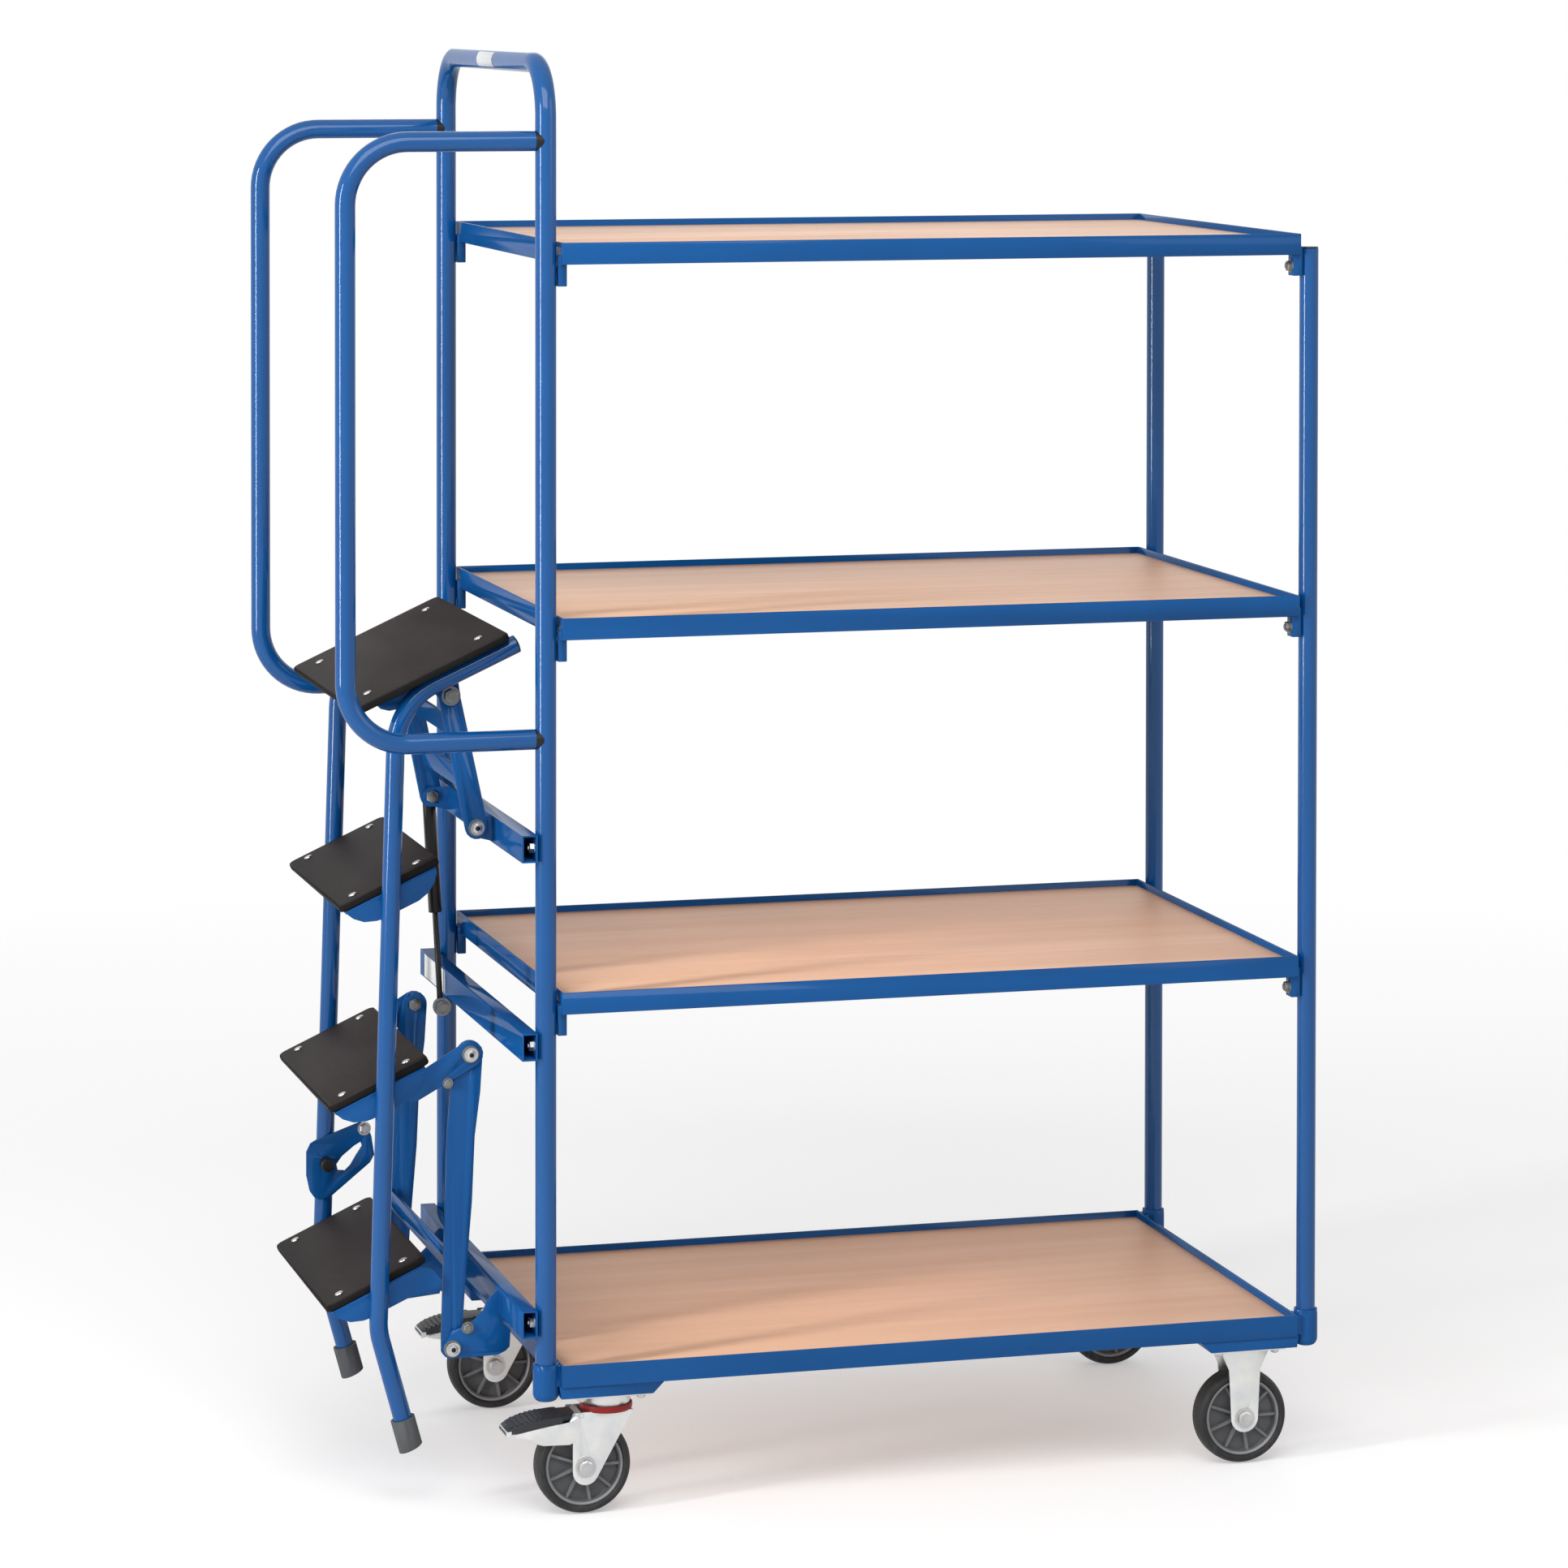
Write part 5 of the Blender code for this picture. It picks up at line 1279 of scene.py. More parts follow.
@dataclass
class Uprights:
    """The push bow with its two posts, the far posts and the guard loops."""

    bench: Bench
    arch_bend: float = 70 * MM
    guard_bend: float = 80 * MM
    plug_height: float = 2 * MM
    plug_depth: float = 12 * MM
    plug_neck: float = 2.5 * MM
    plug_inset: float = 0.4 * MM
    plug_gap: float = 0.05 * MM
    plug_round: float = 0.7 * MM
    plate_half: float = 45 * MM
    plate_turn: Pair = (132.0, 222.0)
    plate_steps: int = 12
    plate_skin: Pair = (-0.1 * MM, 0.35 * MM)
    rail_gap: float = 1.5 * MM
    saddle_start: float = 0.3 * MM
    saddle_inset: float = 0.1 * MM
    saddle_play: float = 0.15 * MM

    def build(self) -> None:
        """Makes every tube with its plugs."""
        self.build_arch()
        self.build_plate()
        for word, _ in SIDES:
            self.build_far_post(word)
            self.build_guard(word)

    def build_arch(self) -> None:
        """The push bow and its posts, one bent tube."""
        span = Span.of("handle_arch")
        radius = span.size.x / 2
        reach, top = span.high.y - radius, span.high.z - radius
        path = ((-reach, span.low.z), (-reach, top), (reach, top), (reach, span.low.z))
        corners = [Vector((span.middle.x, y, z)) for y, z in path]
        self.bench.tube("push_bow", FRAME, corners, radius, self.arch_bend, "handle_arch")

    def build_far_post(self, word: str) -> None:
        """A straight post with a black plug in its top.

        Args:
            word: the side, front or rear.
        """
        node = f"far_post_{word}"
        span = Span.of(node)
        radius = span.size.x / 2
        low = Vector((span.middle.x, span.middle.y, span.low.z))
        high = Vector((span.middle.x, span.middle.y, span.high.z - self.plug_height))
        self.bench.tube(f"post_{word}", FRAME, [low, high], radius, 0.0, node)
        neck, rim = radius - self.plug_neck, radius - self.plug_inset
        profile = [(0.0, -self.plug_depth), (neck, -self.plug_depth), (neck, self.plug_gap),
                   (rim, self.plug_gap), (rim, self.plug_height), (0.0, self.plug_height)]
        profile = rounded(profile, self.plug_round)
        self.bench.turned(f"post_plug_{word}", FRAME, BLACK_PLUG, profile, (high, Along.UP.vector))

    def build_plate(self) -> None:
        """A bare plate bent round the push bow's top, on the ladder's side."""
        span = Span.of("handle_arch")
        radius = span.size.x / 2
        start, end = self.plate_turn
        turns = (start + step * (end - start) / self.plate_steps for step in range(self.plate_steps + 1))
        angles = [math.radians(turn) for turn in turns]
        near, far = (radius + offset for offset in self.plate_skin)
        profile = [(far * math.cos(angle), far * math.sin(angle)) for angle in angles]
        profile += [(near * math.cos(angle), near * math.sin(angle)) for angle in reversed(angles)]
        middle = Vector((span.middle.x, 0.0, span.high.z - radius))
        form = bmesh.new()
        loops = []
        for _, side in SIDES:
            y = side * self.plate_half
            loops.append([form.verts.new(middle + Vector((x, y, z))) for x, z in profile])
        skinned(form, loops)
        plate = dress(piece_of("bow_plate", mesh_of(form, "bow_plate")), self.bench.finish(BARE_PLATE))
        self.bench.fit(plate, FRAME, "bolt_steel")

    def build_guard(self, word: str) -> None:
        """A C-shaped hand rail whose ends close in black plugs that sit round the post.

        Args:
            word: the side, front or rear.
        """
        node = f"guard_loop_{word}"
        span, post = Span.of(node), Span.of("handle_arch")
        radius, y = span.size.y / 2, span.middle.y
        end_x, far_x = post.low.x - self.rail_gap, span.low.x + radius
        top, bottom = span.high.z - radius, span.low.z + radius
        path = ((end_x, top), (far_x, top), (far_x, bottom), (end_x, bottom))
        corners = [Vector((x, y, z)) for x, z in path]
        self.bench.tube(f"hand_rail_{word}", FRAME, corners, radius, self.guard_bend, node)
        seat = post.size.x / 2 + self.saddle_play
        for place, height in (("top", top), ("bottom", bottom)):
            start = Vector((end_x - self.saddle_start, y, height))
            mesh = saddle_mesh(start, radius - self.saddle_inset, post.middle.x, seat)
            plug = dress(piece_of(f"rail_plug_{word}_{place}", mesh), self.bench.finish(PLUG))
            self.bench.fit(plug, FRAME, "black_steel")


def saddle_mesh(
    start: Vector, radius: float, post_x: float, seat: float, steps: int = 56, rings: int = 8
) -> Mesh:
    """A round plug along X whose end is hollowed to sit against an upright post.

    Args:
        start: the middle of the plug's flat end.
        radius: the plug's radius.
        post_x: where the post's axis lies.
        seat: the radius of the hollow round that axis.
        steps: how many faces run round the plug.
        rings: how many rings of faces the hollow has.

    Returns:
        The closed mesh.
    """
    form = bmesh.new()
    angles = [math.tau * step / steps for step in range(steps)]
    round_start = [(radius * math.cos(angle), radius * math.sin(angle)) for angle in angles]
    loops = [[form.verts.new((start.x, start.y + across, start.z + up)) for across, up in round_start]]
    for index in range(rings):
        share = (rings - index) / rings
        ring = []
        for angle in angles:
            across, up = share * radius * math.cos(angle), share * radius * math.sin(angle)
            along = post_x - math.sqrt(seat * seat - across * across)
            ring.append(form.verts.new((along, start.y + across, start.z + up)))
        loops.append(ring)
    skinned(form, loops)
    return mesh_of(form, "saddle")


@dataclass
class Shelves:
    """The deck and the three shelves: angle frames, boards and their corner bolts."""

    bench: Bench
    frame_edge: float = 1.0 * MM
    board_edge: float = 0.5 * MM
    nut: Pair = (7 * MM, 6.5 * MM)
    nut_seat: float = 3.9 * MM
    lug_drop: float = 13 * MM
    rim_above_board: float = 3 * MM
    socket_rise: Pair = (1 * MM, 5 * MM)
    socket_wall: float = 3 * MM
    socket_floor: float = 10.3 * MM
    shell_skin: float = 0.25 * MM
    shell_above: float = 0.1 * MM
    shell_wall: float = 1.5 * MM
    shell_foot: float = 4 * MM
    shell_round: float = 6 * MM
    hollow: tuple[Pair, ...] = ((0.0, 9 * MM), (-7 * MM, 1.2 * MM))

    def build(self) -> None:
        """Makes the frames and dresses the boards."""
        frames, boards = (
            [f"deck_{part}"] + [f"shelf_{part}_{level}" for level in LEVELS] for part in ("frame", "board")
        )
        for node in frames:
            self.bench.pressed(node, FRAME, BLUE, "blue_paint", self.frame_edge)
        for node in boards:
            self.bench.pressed(node, FRAME, BEECH, "beech_board", self.board_edge)
        self.build_nuts()
        self.build_sockets()

    def build_sockets(self) -> None:
        """A smooth round shell over each post's socket, closed and rounded below."""
        rim = Span.of("deck_board").high.z + self.rim_above_board
        near_rise, far_rise = self.socket_rise
        for word, side in SIDES:
            arch, far = Span.of("handle_arch"), Span.of(f"far_post_{word}")
            near_y = side * (arch.high.y - arch.size.x / 2)
            self.build_socket(f"socket_near_{word}", arch, near_y, rim + near_rise)
            self.build_socket(f"socket_far_{word}", far, far.middle.y, rim + far_rise)

    def build_socket(self, name: str, post: Span, y: float, top: float) -> None:
        """One shell round a post's foot.

        Args:
            name: the piece's name.
            post: the post's box.
            y: where the post's axis lies.
            top: the height of the shell's rim.
        """
        radius = post.size.x / 2 + self.socket_wall
        low = post.low.z - self.socket_floor
        outer, inner = radius + self.shell_skin, radius - self.shell_wall
        height = top - low + self.shell_above
        bowl = [(0.0, -self.shell_skin), (radius - self.shell_foot, -self.shell_skin),
                (outer, self.shell_round), (outer, height), (inner, height)]
        profile = rounded(bowl, self.shell_round, 6)
        profile += [(inner + inward, up) for inward, up in self.hollow]
        profile.append((0.0, self.hollow[-1][1]))
        place = Vector((post.middle.x, y, low))
        self.bench.turned(name, FRAME, BLUE_PAINT, profile, (place, Along.UP.vector))

    def build_nuts(self) -> None:
        """A nut on the inner face of each corner lug at the far posts."""
        spots = []
        for level in LEVELS:
            frame, board = Span.of(f"shelf_frame_{level}"), Span.of(f"shelf_board_{level}")
            for word, _ in SIDES:
                y = Span.of(f"far_post_{word}").middle.y
                place = Vector((board.high.x - self.nut_seat, y, frame.low.z + self.lug_drop))
                spots.append((place, Along.LEFT.vector))
        self.bench.fastened("corner_nuts", FRAME, spots, self.nut, SHADED_ZINC)


@dataclass
class CrossBars:
    """The three cross bars with their end bolts, the pivots' bolts and the bare label."""

    bench: Bench
    edge: float = 0.9 * MM
    bolt_edge: float = 0.5 * MM
    wall: float = 2 * MM
    depth: float = 20 * MM
    half_height: float = 17.5 * MM
    post_spread: float = 302.5 * MM
    bar_nut: Pair = (7 * MM, 7 * MM)
    bracket_face: float = 182.6 * MM
    stop: Pair = (6 * MM, 5 * MM)
    stop_place: Pair = (20 * MM, 26 * MM)
    gas_head: Pair = (9.4 * MM, 5 * MM)
    gas_seat: float = 5.1 * MM
    lug_inset: float = 12 * MM
    label_thick: float = 0.3 * MM
    label_sink: float = 0.02 * MM
    label_from: float = 154 * MM
    label_length: float = 134 * MM
    label_height: float = 31 * MM

    def build(self) -> None:
        """Makes the bars with everything on them."""
        self.build_bars()
        for word, side in SIDES:
            for node in (f"lower_pivot_bolt_{word}", f"upper_pivot_bolt_{word}"):
                self.bench.pressed(node, FRAME, SHADED_ZINC, "bolt_steel", self.bolt_edge)
                PivotEnd(self.bench, node, side, FRAME).build()
        self.build_stops()
        self.build_label()

    def build_bars(self) -> None:
        """The bars and the nuts that hold them to the posts."""
        spots = []
        for node in ("crossbar_upper", "crossbar_middle", "crossbar_lower"):
            self.bench.pressed(node, FRAME, BLUE, "blue_paint", self.edge)
            span = Span.of(node)
            for _, side in SIDES:
                height = span.high.z - self.half_height
                place = Vector((span.high.x - self.wall, side * self.post_spread, height))
                spots.append((place, Along.LEFT.vector))
        self.bench.fastened("bar_nuts", FRAME, spots, self.bar_nut, BOLT)

    def build_stops(self) -> None:
        """The stop bolts on the lower bar's brackets and the gas spring's lower bolt."""
        pivot = Span.of("lower_pivot_bolt_front").middle
        on, up = self.stop_place
        stop = Vector((pivot.x + on, self.bracket_face, pivot.z + up))
        self.bench.fastened("bracket_stops", FRAME, mirrored(stop), self.stop, SHADED_ZINC)
        lug, eye = Span.of("crossbar_middle").low, Span.of("gas_rod").low
        place = Vector((lug.x + self.lug_inset, eye.y - self.gas_seat, lug.z + self.lug_inset))
        self.bench.fastened("gas_bolt", FRAME, [(place, Along.FRONT.vector)], self.gas_head, SHADED_ZINC)

    def build_label(self) -> None:
        """A bare pale label on the middle bar's outer face."""
        middle_z = Span.of("crossbar_middle").high.z - self.half_height
        face_x = Span.of("crossbar_upper").high.x - self.depth
        end_y, half = self.label_from + self.label_length, self.label_height / 2
        low = Vector((face_x - self.label_thick, self.label_from, middle_z - half))
        high = Vector((face_x + self.label_sink, end_y, middle_z + half))
        label = sheet_piece("bare_label", low, high, self.bench.finish(PALE_LABEL))
        self.bench.fit(label, FRAME, "zinc")


@dataclass
class PivotEnd:
    """What shows on a pivot bolt's end: a washer, a nut and the bolt's dark tip."""

    bench: Bench
    node: str
    side: int
    body: str
    washer: Outline = (
        (5.2 * MM, -4 * MM), (11.2 * MM, -4 * MM), (11.2 * MM, -2.6 * MM), (5.2 * MM, -2.6 * MM)
    )
    washer_round: float = 0.4 * MM
    nut: Pair = (6.9 * MM, 3.6 * MM)
    nut_sink: float = 0.3 * MM
    tip: Outline = ((0.0, 3.2 * MM), (3.1 * MM, 3.2 * MM), (3.1 * MM, 4.5 * MM), (0.0, 4.7 * MM))
    tip_round: float = 0.5 * MM

    def build(self) -> None:
        """Makes the three pieces on the bolt's outer end."""
        span, way = Span.of(self.node), sideways(self.side)
        y = span.high.y if self.side > 0 else span.low.y
        face = Vector((span.middle.x, y, span.middle.z))
        bench, stand = self.bench, (face, way)
        washer = rounded(self.washer, self.washer_round)
        bench.turned(f"{self.node}_washer", self.body, (SHADED_ZINC, "bolt_steel"), washer, stand)
        spots = [(face - way * self.nut_sink, way)]
        bench.fastened(f"{self.node}_nut", self.body, spots, self.nut, BOLT)
        tip = rounded(self.tip, self.tip_round)
        bench.turned(f"{self.node}_tip", self.body, (ENAMEL, "black_steel"), tip, stand)


def sheet_piece(name: str, low: Vector, high: Vector, material: Material) -> Piece:
    """A thin rectangular piece with softened edges.

    Args:
        name: the piece's name.
        low: its lowest corner.
        high: its highest corner.
        material: its material.

    Returns:
        The new piece.
    """
    form = bmesh.new()
    bmesh.ops.create_cube(form, size=1.0)
    bmesh.ops.scale(form, vec=high - low, verts=form.verts)
    bmesh.ops.translate(form, vec=(high + low) / 2, verts=form.verts)
    edge = min(high - low) * SHEET_SOFTNESS
    bmesh.ops.bevel(form, geom=form.edges[:], offset=edge, segments=2, affect="EDGES", profile=0.5)
    return dress(piece_of(name, mesh_of(form, name)), material)


def slab_piece(
    name: str, outline: Outline, faces_y: Pair, material: Material, edge: float = 0.4 * MM
) -> Piece:
    """A plate cut to an outline of (x, z) points, with softened edges.

    Args:
        name: the piece's name.
        outline: the outline's corners in order.
        faces_y: where the plate's front and rear faces lie.
        material: its material.
        edge: how wide each softened edge is.

    Returns:
        The new piece.
    """
    form = bmesh.new()
    skinned(form, [[form.verts.new((x, y, z)) for x, z in outline] for y in faces_y])
    rims = [rim for rim in form.edges if rim.calc_face_angle(0.0) > SLAB_RIM_ANGLE]
    bmesh.ops.bevel(form, geom=rims, offset=edge, segments=2, affect="EDGES", profile=0.5)
    return dress(piece_of(name, mesh_of(form, name)), material, SLAB_SHARP_ANGLE)


@dataclass
class Ladder:
    """The step ladder: legs, feet, treads, carriers and the latch plate."""

    bench: Bench
    tilt: float = math.radians(24.4)
    leg_radius: float = 12 * MM
    leg_bend: float = 90 * MM
    leg_path: tuple[Pair, ...] = (
        (-0.1537, 0.0794), (-0.19603, 0.23204), (-0.17128, 1.04216), (-0.01464, 1.11322)
    )
    start_share: float = 0.06
    plug_depth: float = 10 * MM
    plug_neck: float = 2 * MM
    plug_inset: float = 0.2 * MM
    plug_gap: float = 0.05 * MM
    plug_dome: tuple[float, float, float] = (1.4 * MM, 3 * MM, 3.2 * MM)
    plug_round: float = 0.8 * MM
    foot_edge: float = 1.2 * MM
    bolt_edge: float = 0.5 * MM
    sheet_edge: float = 0.9 * MM
    tread_edge: float = 2.4 * MM
    tread_thick: float = 10 * MM
    screw: Pair = (5.6 * MM, 1.2 * MM)
    screw_sink: float = 0.1 * MM
    screw_reach: Pair = (46 * MM, 155 * MM)
    top_screw_reach: Pair = (80 * MM, 165 * MM)
    sleeve: Outline = ((0.0, -1.5 * MM), (9 * MM, -1.5 * MM), (9 * MM, 20 * MM), (0.0, 20 * MM))
    sleeve_round: float = 2 * MM
    sleeve_share: float = 0.27
    arm_stop: Pair = (5.2 * MM, 4 * MM)
    arm_stop_place: Pair = (-30 * MM, -36 * MM)
    arm_stop_sink: float = 0.2 * MM
    stud: Pair = (9.5 * MM, 4.6 * MM)
    stud_inset: float = 15 * MM
    stud_rise: float = 5.2 * MM
    latch_bolt: Pair = (7 * MM, 5 * MM)
    latch_share: float = 0.85
    latch_sink: float = 4.1 * MM
    latch_drop: float = 9 * MM

    def build(self) -> None:
        """Makes the whole ladder."""
        bench = self.bench
        for word, side in SIDES:
            self.build_leg(word)
            bench.pressed(f"foot_cap_{word}", LADDER, FOOT, "foot_rubber", self.foot_edge)
            bench.pressed(f"link_bolt_{word}", LADDER, SHADED_ZINC, "bolt_steel", self.bolt_edge)
            PivotEnd(bench, f"link_bolt_{word}", side, LADDER).build()
        for node in ("carrier_first", "carrier_second", "carrier_third", "carrier_top", "latch_plate"):
            bench.pressed(node, LADDER, BLUE, "blue_paint", self.sheet_edge)
        self.build_latch()
        self.build_stops()
        spots: list[Stand] = []
        for node in ("tread_first", "tread_second", "tread_third", "tread_top"):
            bench.pressed(node, LADDER, FILM, "tread_board", self.tread_edge)
            spots += self.screw_spots(node)
        bench.fastened("tread_screws", LADDER, spots, self.screw, BOLT, Head.SCREW)

    def build_leg(self, word: str) -> None:
        """A bent leg with a black plug in its upper end.

        Args:
            word: the side, front or rear.
        """
        node = f"ladder_leg_{word}"
        y, post_x = Span.of(node).middle.y, Span.of("handle_arch").middle.x
        corners = [Vector((post_x + x, y, z)) for x, z in self.leg_path]
        corners[0] = corners[0].lerp(corners[1], self.start_share)
        radius = self.leg_radius
        self.bench.tube(f"leg_{word}", LADDER, corners, radius, self.leg_bend, node)
        neck, rim = radius - self.plug_neck, radius - self.plug_inset
        side, shoulder, top = self.plug_dome
        profile = [(0.0, -self.plug_depth), (neck, -self.plug_depth), (neck, self.plug_gap),
                   (rim, self.plug_gap), (rim, side), (radius * 0.5, shoulder), (0.0, top)]
        profile = rounded(profile, self.plug_round)
        along = (corners[-1] - corners[-2]).normalized()
        self.bench.turned(f"leg_plug_{word}", LADDER, BLACK_PLUG, profile, (corners[-1], along))

    def build_latch(self) -> None:
        """The rubber sleeve on the latch plate's pin."""
        span = Span.of("latch_plate")
        middle = span.low + Vector((self.sleeve_share * span.size.x, 0.0, span.size.z / 2))
        profile = rounded(self.sleeve, self.sleeve_round)
        look, stand = (PLUG, "foot_rubber"), (middle, Along.REAR.vector)
        self.bench.turned("latch_sleeve", LADDER, look, profile, stand)

    def build_stops(self) -> None:
        """Stop bolts on the arms, studs of the upper link and the latch plate's bolt."""
        bench = self.bench
        arm, link = Span.of("carrier_second"), Span.of("link_bolt_front").middle
        on, up = self.arm_stop_place
        stop = Vector((link.x + on, arm.high.y - self.arm_stop_sink, link.z + up))
        bench.fastened("arm_stops", LADDER, mirrored(stop), self.arm_stop, SHADED_ZINC)
        bar = Span.of("upper_link_frame")
        inset = self.stud_inset
        stud = Vector((bar.low.x + inset, bar.high.y + self.stud_rise, bar.high.z - inset))
        bench.fastened("stud_nuts", LADDER, mirrored(stud), self.stud, SHADED_ZINC)
        plate = Span.of("latch_plate")
        x = plate.low.x + self.latch_share * plate.size.x
        bolt = Vector((x, plate.high.y - self.latch_sink, plate.high.z - self.latch_drop))
        bench.fastened("latch_bolt", LADDER, [(bolt, Along.FRONT.vector)], self.latch_bolt, BOLT)

    def screw_spots(self, node: str) -> list[Stand]:
        """Finds the spots of a tread's four screws.

        Args:
            node: the tread's solid.

        Returns:
            The place and the facing of each.
        """
        reach_x, reach_y = self.top_screw_reach if node == "tread_top" else self.screw_reach
        up_slope = Vector((math.cos(self.tilt), 0.0, math.sin(self.tilt)))
        out = Vector((-math.sin(self.tilt), 0.0, math.cos(self.tilt)))
        surface = Span.of(node).middle + out * (self.tread_thick / 2 - self.screw_sink)
        return [
            (surface + up_slope * (a * reach_x) + Vector((0.0, b * reach_y, 0.0)), out) for a, b in CORNERS
        ]


@dataclass
class Linkage:
    """The lower and the upper link and the gas spring."""

    bench: Bench
    sheet_edge: float = 0.9 * MM
    rod_edge: float = 0.5 * MM

    def build(self) -> None:
        """Makes the links and the gas spring."""
        self.bench.pressed("lower_link_frame", LOWER_LINK, BLUE, "blue_paint", self.sheet_edge)
        self.bench.pressed("upper_link_frame", UPPER_LINK, BLUE, "blue_paint", self.sheet_edge)
        self.bench.pressed("gas_rod", GAS_ROD, ENAMEL, "black_steel", self.rod_edge)
        self.bench.pressed("gas_cylinder", GAS_CYLINDER, ENAMEL, "black_steel", self.sheet_edge)


@dataclass
class Wheel:
    """A castor wheel: a rounded tyre and a ribbed rim."""

    bench: Bench
    name: str
    body: str
    tyre_bore: float = 51 * MM
    tyre_lip: Pair = (2 * MM, 3 * MM)
    crown: Pair = (4 * MM, 0.5 * MM)
    tread_inset: float = 9 * MM
    tyre_round: float = 6 * MM
    rim_play: float = 0.2 * MM
    rim_half: float = 15 * MM
    rim_lip: float = 2 * MM
    axle_bore: float = 6.4 * MM
    hub_radius: float = 14 * MM
    web: float = 7 * MM
    ring_width: float = 4 * MM
    ring_rise: Pair = (1.2 * MM, 0.6 * MM)
    spokes: int = 9
    spoke_thick: float = 3.4 * MM
    spoke_inset: float = 2.5 * MM
    step: float = 1 * MM

    def build(self) -> None:
        """Makes the tyre, the disc, the rings and the spokes; the rings and the spokes are the hub's plastic
        painted lighter, as painted highlight.
        """
        bench, name = self.bench, self.name
        middle = Span.of(f"tyre_{name}").middle
        stand = (middle, Along.REAR.vector)
        profile = rounded(self.tyre_outline(), self.tyre_round, 5)
        look = (TYRE, "tyre_rubber")
        bench.turned(f"wheel_tyre_{name}", self.body, look, profile, stand, f"tyre_{name}")
        look = (HUB, "rim_plastic")
        bench.turned(f"wheel_disc_{name}", self.body, look, self.disc_outline(), stand, f"rim_{name}")
        for word, side in SIDES:
            look = (HUB_RING_PAINTED_LIT, "rim_plastic")
            bench.turned(f"rim_ring_{name}_{word}", self.body, look, self.ring_outline(side), stand)
        spokes = bench.spokes.make(
            f"wheel_spokes_{name}", middle, bench.finish(HUB_RIB_PAINTED_LIT), Count=self.spokes,
            Inner=self.hub_radius - self.step, Outer=self.rim_ends()[0],
            Width=2 * (self.rim_half - self.spoke_inset), Thickness=self.spoke_thick,
        )
        bench.fit(spokes, self.body, "rim_plastic")

    def rim_ends(self) -> Pair:
        """The inner and the outer radius of the rim's ring."""
        outer = self.tyre_bore + self.rim_play
        return (outer - self.ring_width, outer)

    def tyre_outline(self) -> Outline:
        """Draws the tyre.

        Returns:
            Its closed outline, the bore first.
        """
        size = Span.of(f"tyre_{self.name}").size
        radius, half = size.z / 2, size.y / 2
        bore, (lip, drop), (crown, shoulder) = self.tyre_bore, self.tyre_lip, self.crown
        flat = half - self.tread_inset
        return [
            (bore, -half + drop), (bore + lip, -half), (radius - crown, -half + shoulder), (radius, -flat),
            (radius, flat), (radius - crown, half - shoulder), (bore + lip, half), (bore, half - drop),
        ]

    def disc_outline(self) -> Outline:
        """Draws the hub, the web and the rim in one.

        Returns:
            Their closed outline.
        """
        half = Span.of(f"rim_{self.name}").size.y / 2
        inner, outer = self.rim_ends()
        step, lip = self.step, self.rim_half - self.rim_lip
        side = [
            (self.axle_bore, half), (self.hub_radius, half), (self.hub_radius + step, self.web),
            (inner - 3 * step, self.web), (inner - step, lip), (outer - step, lip),
        ]
        return side + [(radius, -along) for radius, along in reversed(side)]

    def ring_outline(self, side: int) -> Outline:
        """Draws the ring on one side of the rim, painted lighter than the hub as painted highlight.

        Args:
            side: -1 on the front side, 1 on the rear side.

        Returns:
            Its closed outline.
        """
        wide, step = self.rim_half, self.step
        inner, outer = self.rim_ends()
        rise, inner_rise = self.ring_rise
        corners = [
            (inner, wide - 4 * step), (outer, wide - 4 * step), (outer, wide),
            (outer - 2 * step, wide + rise), (inner + step, wide + inner_rise), (inner, wide - step),
        ]
        ring = rounded(corners, step)
        return ring if side > 0 else [(radius, -along) for radius, along in reversed(ring)]


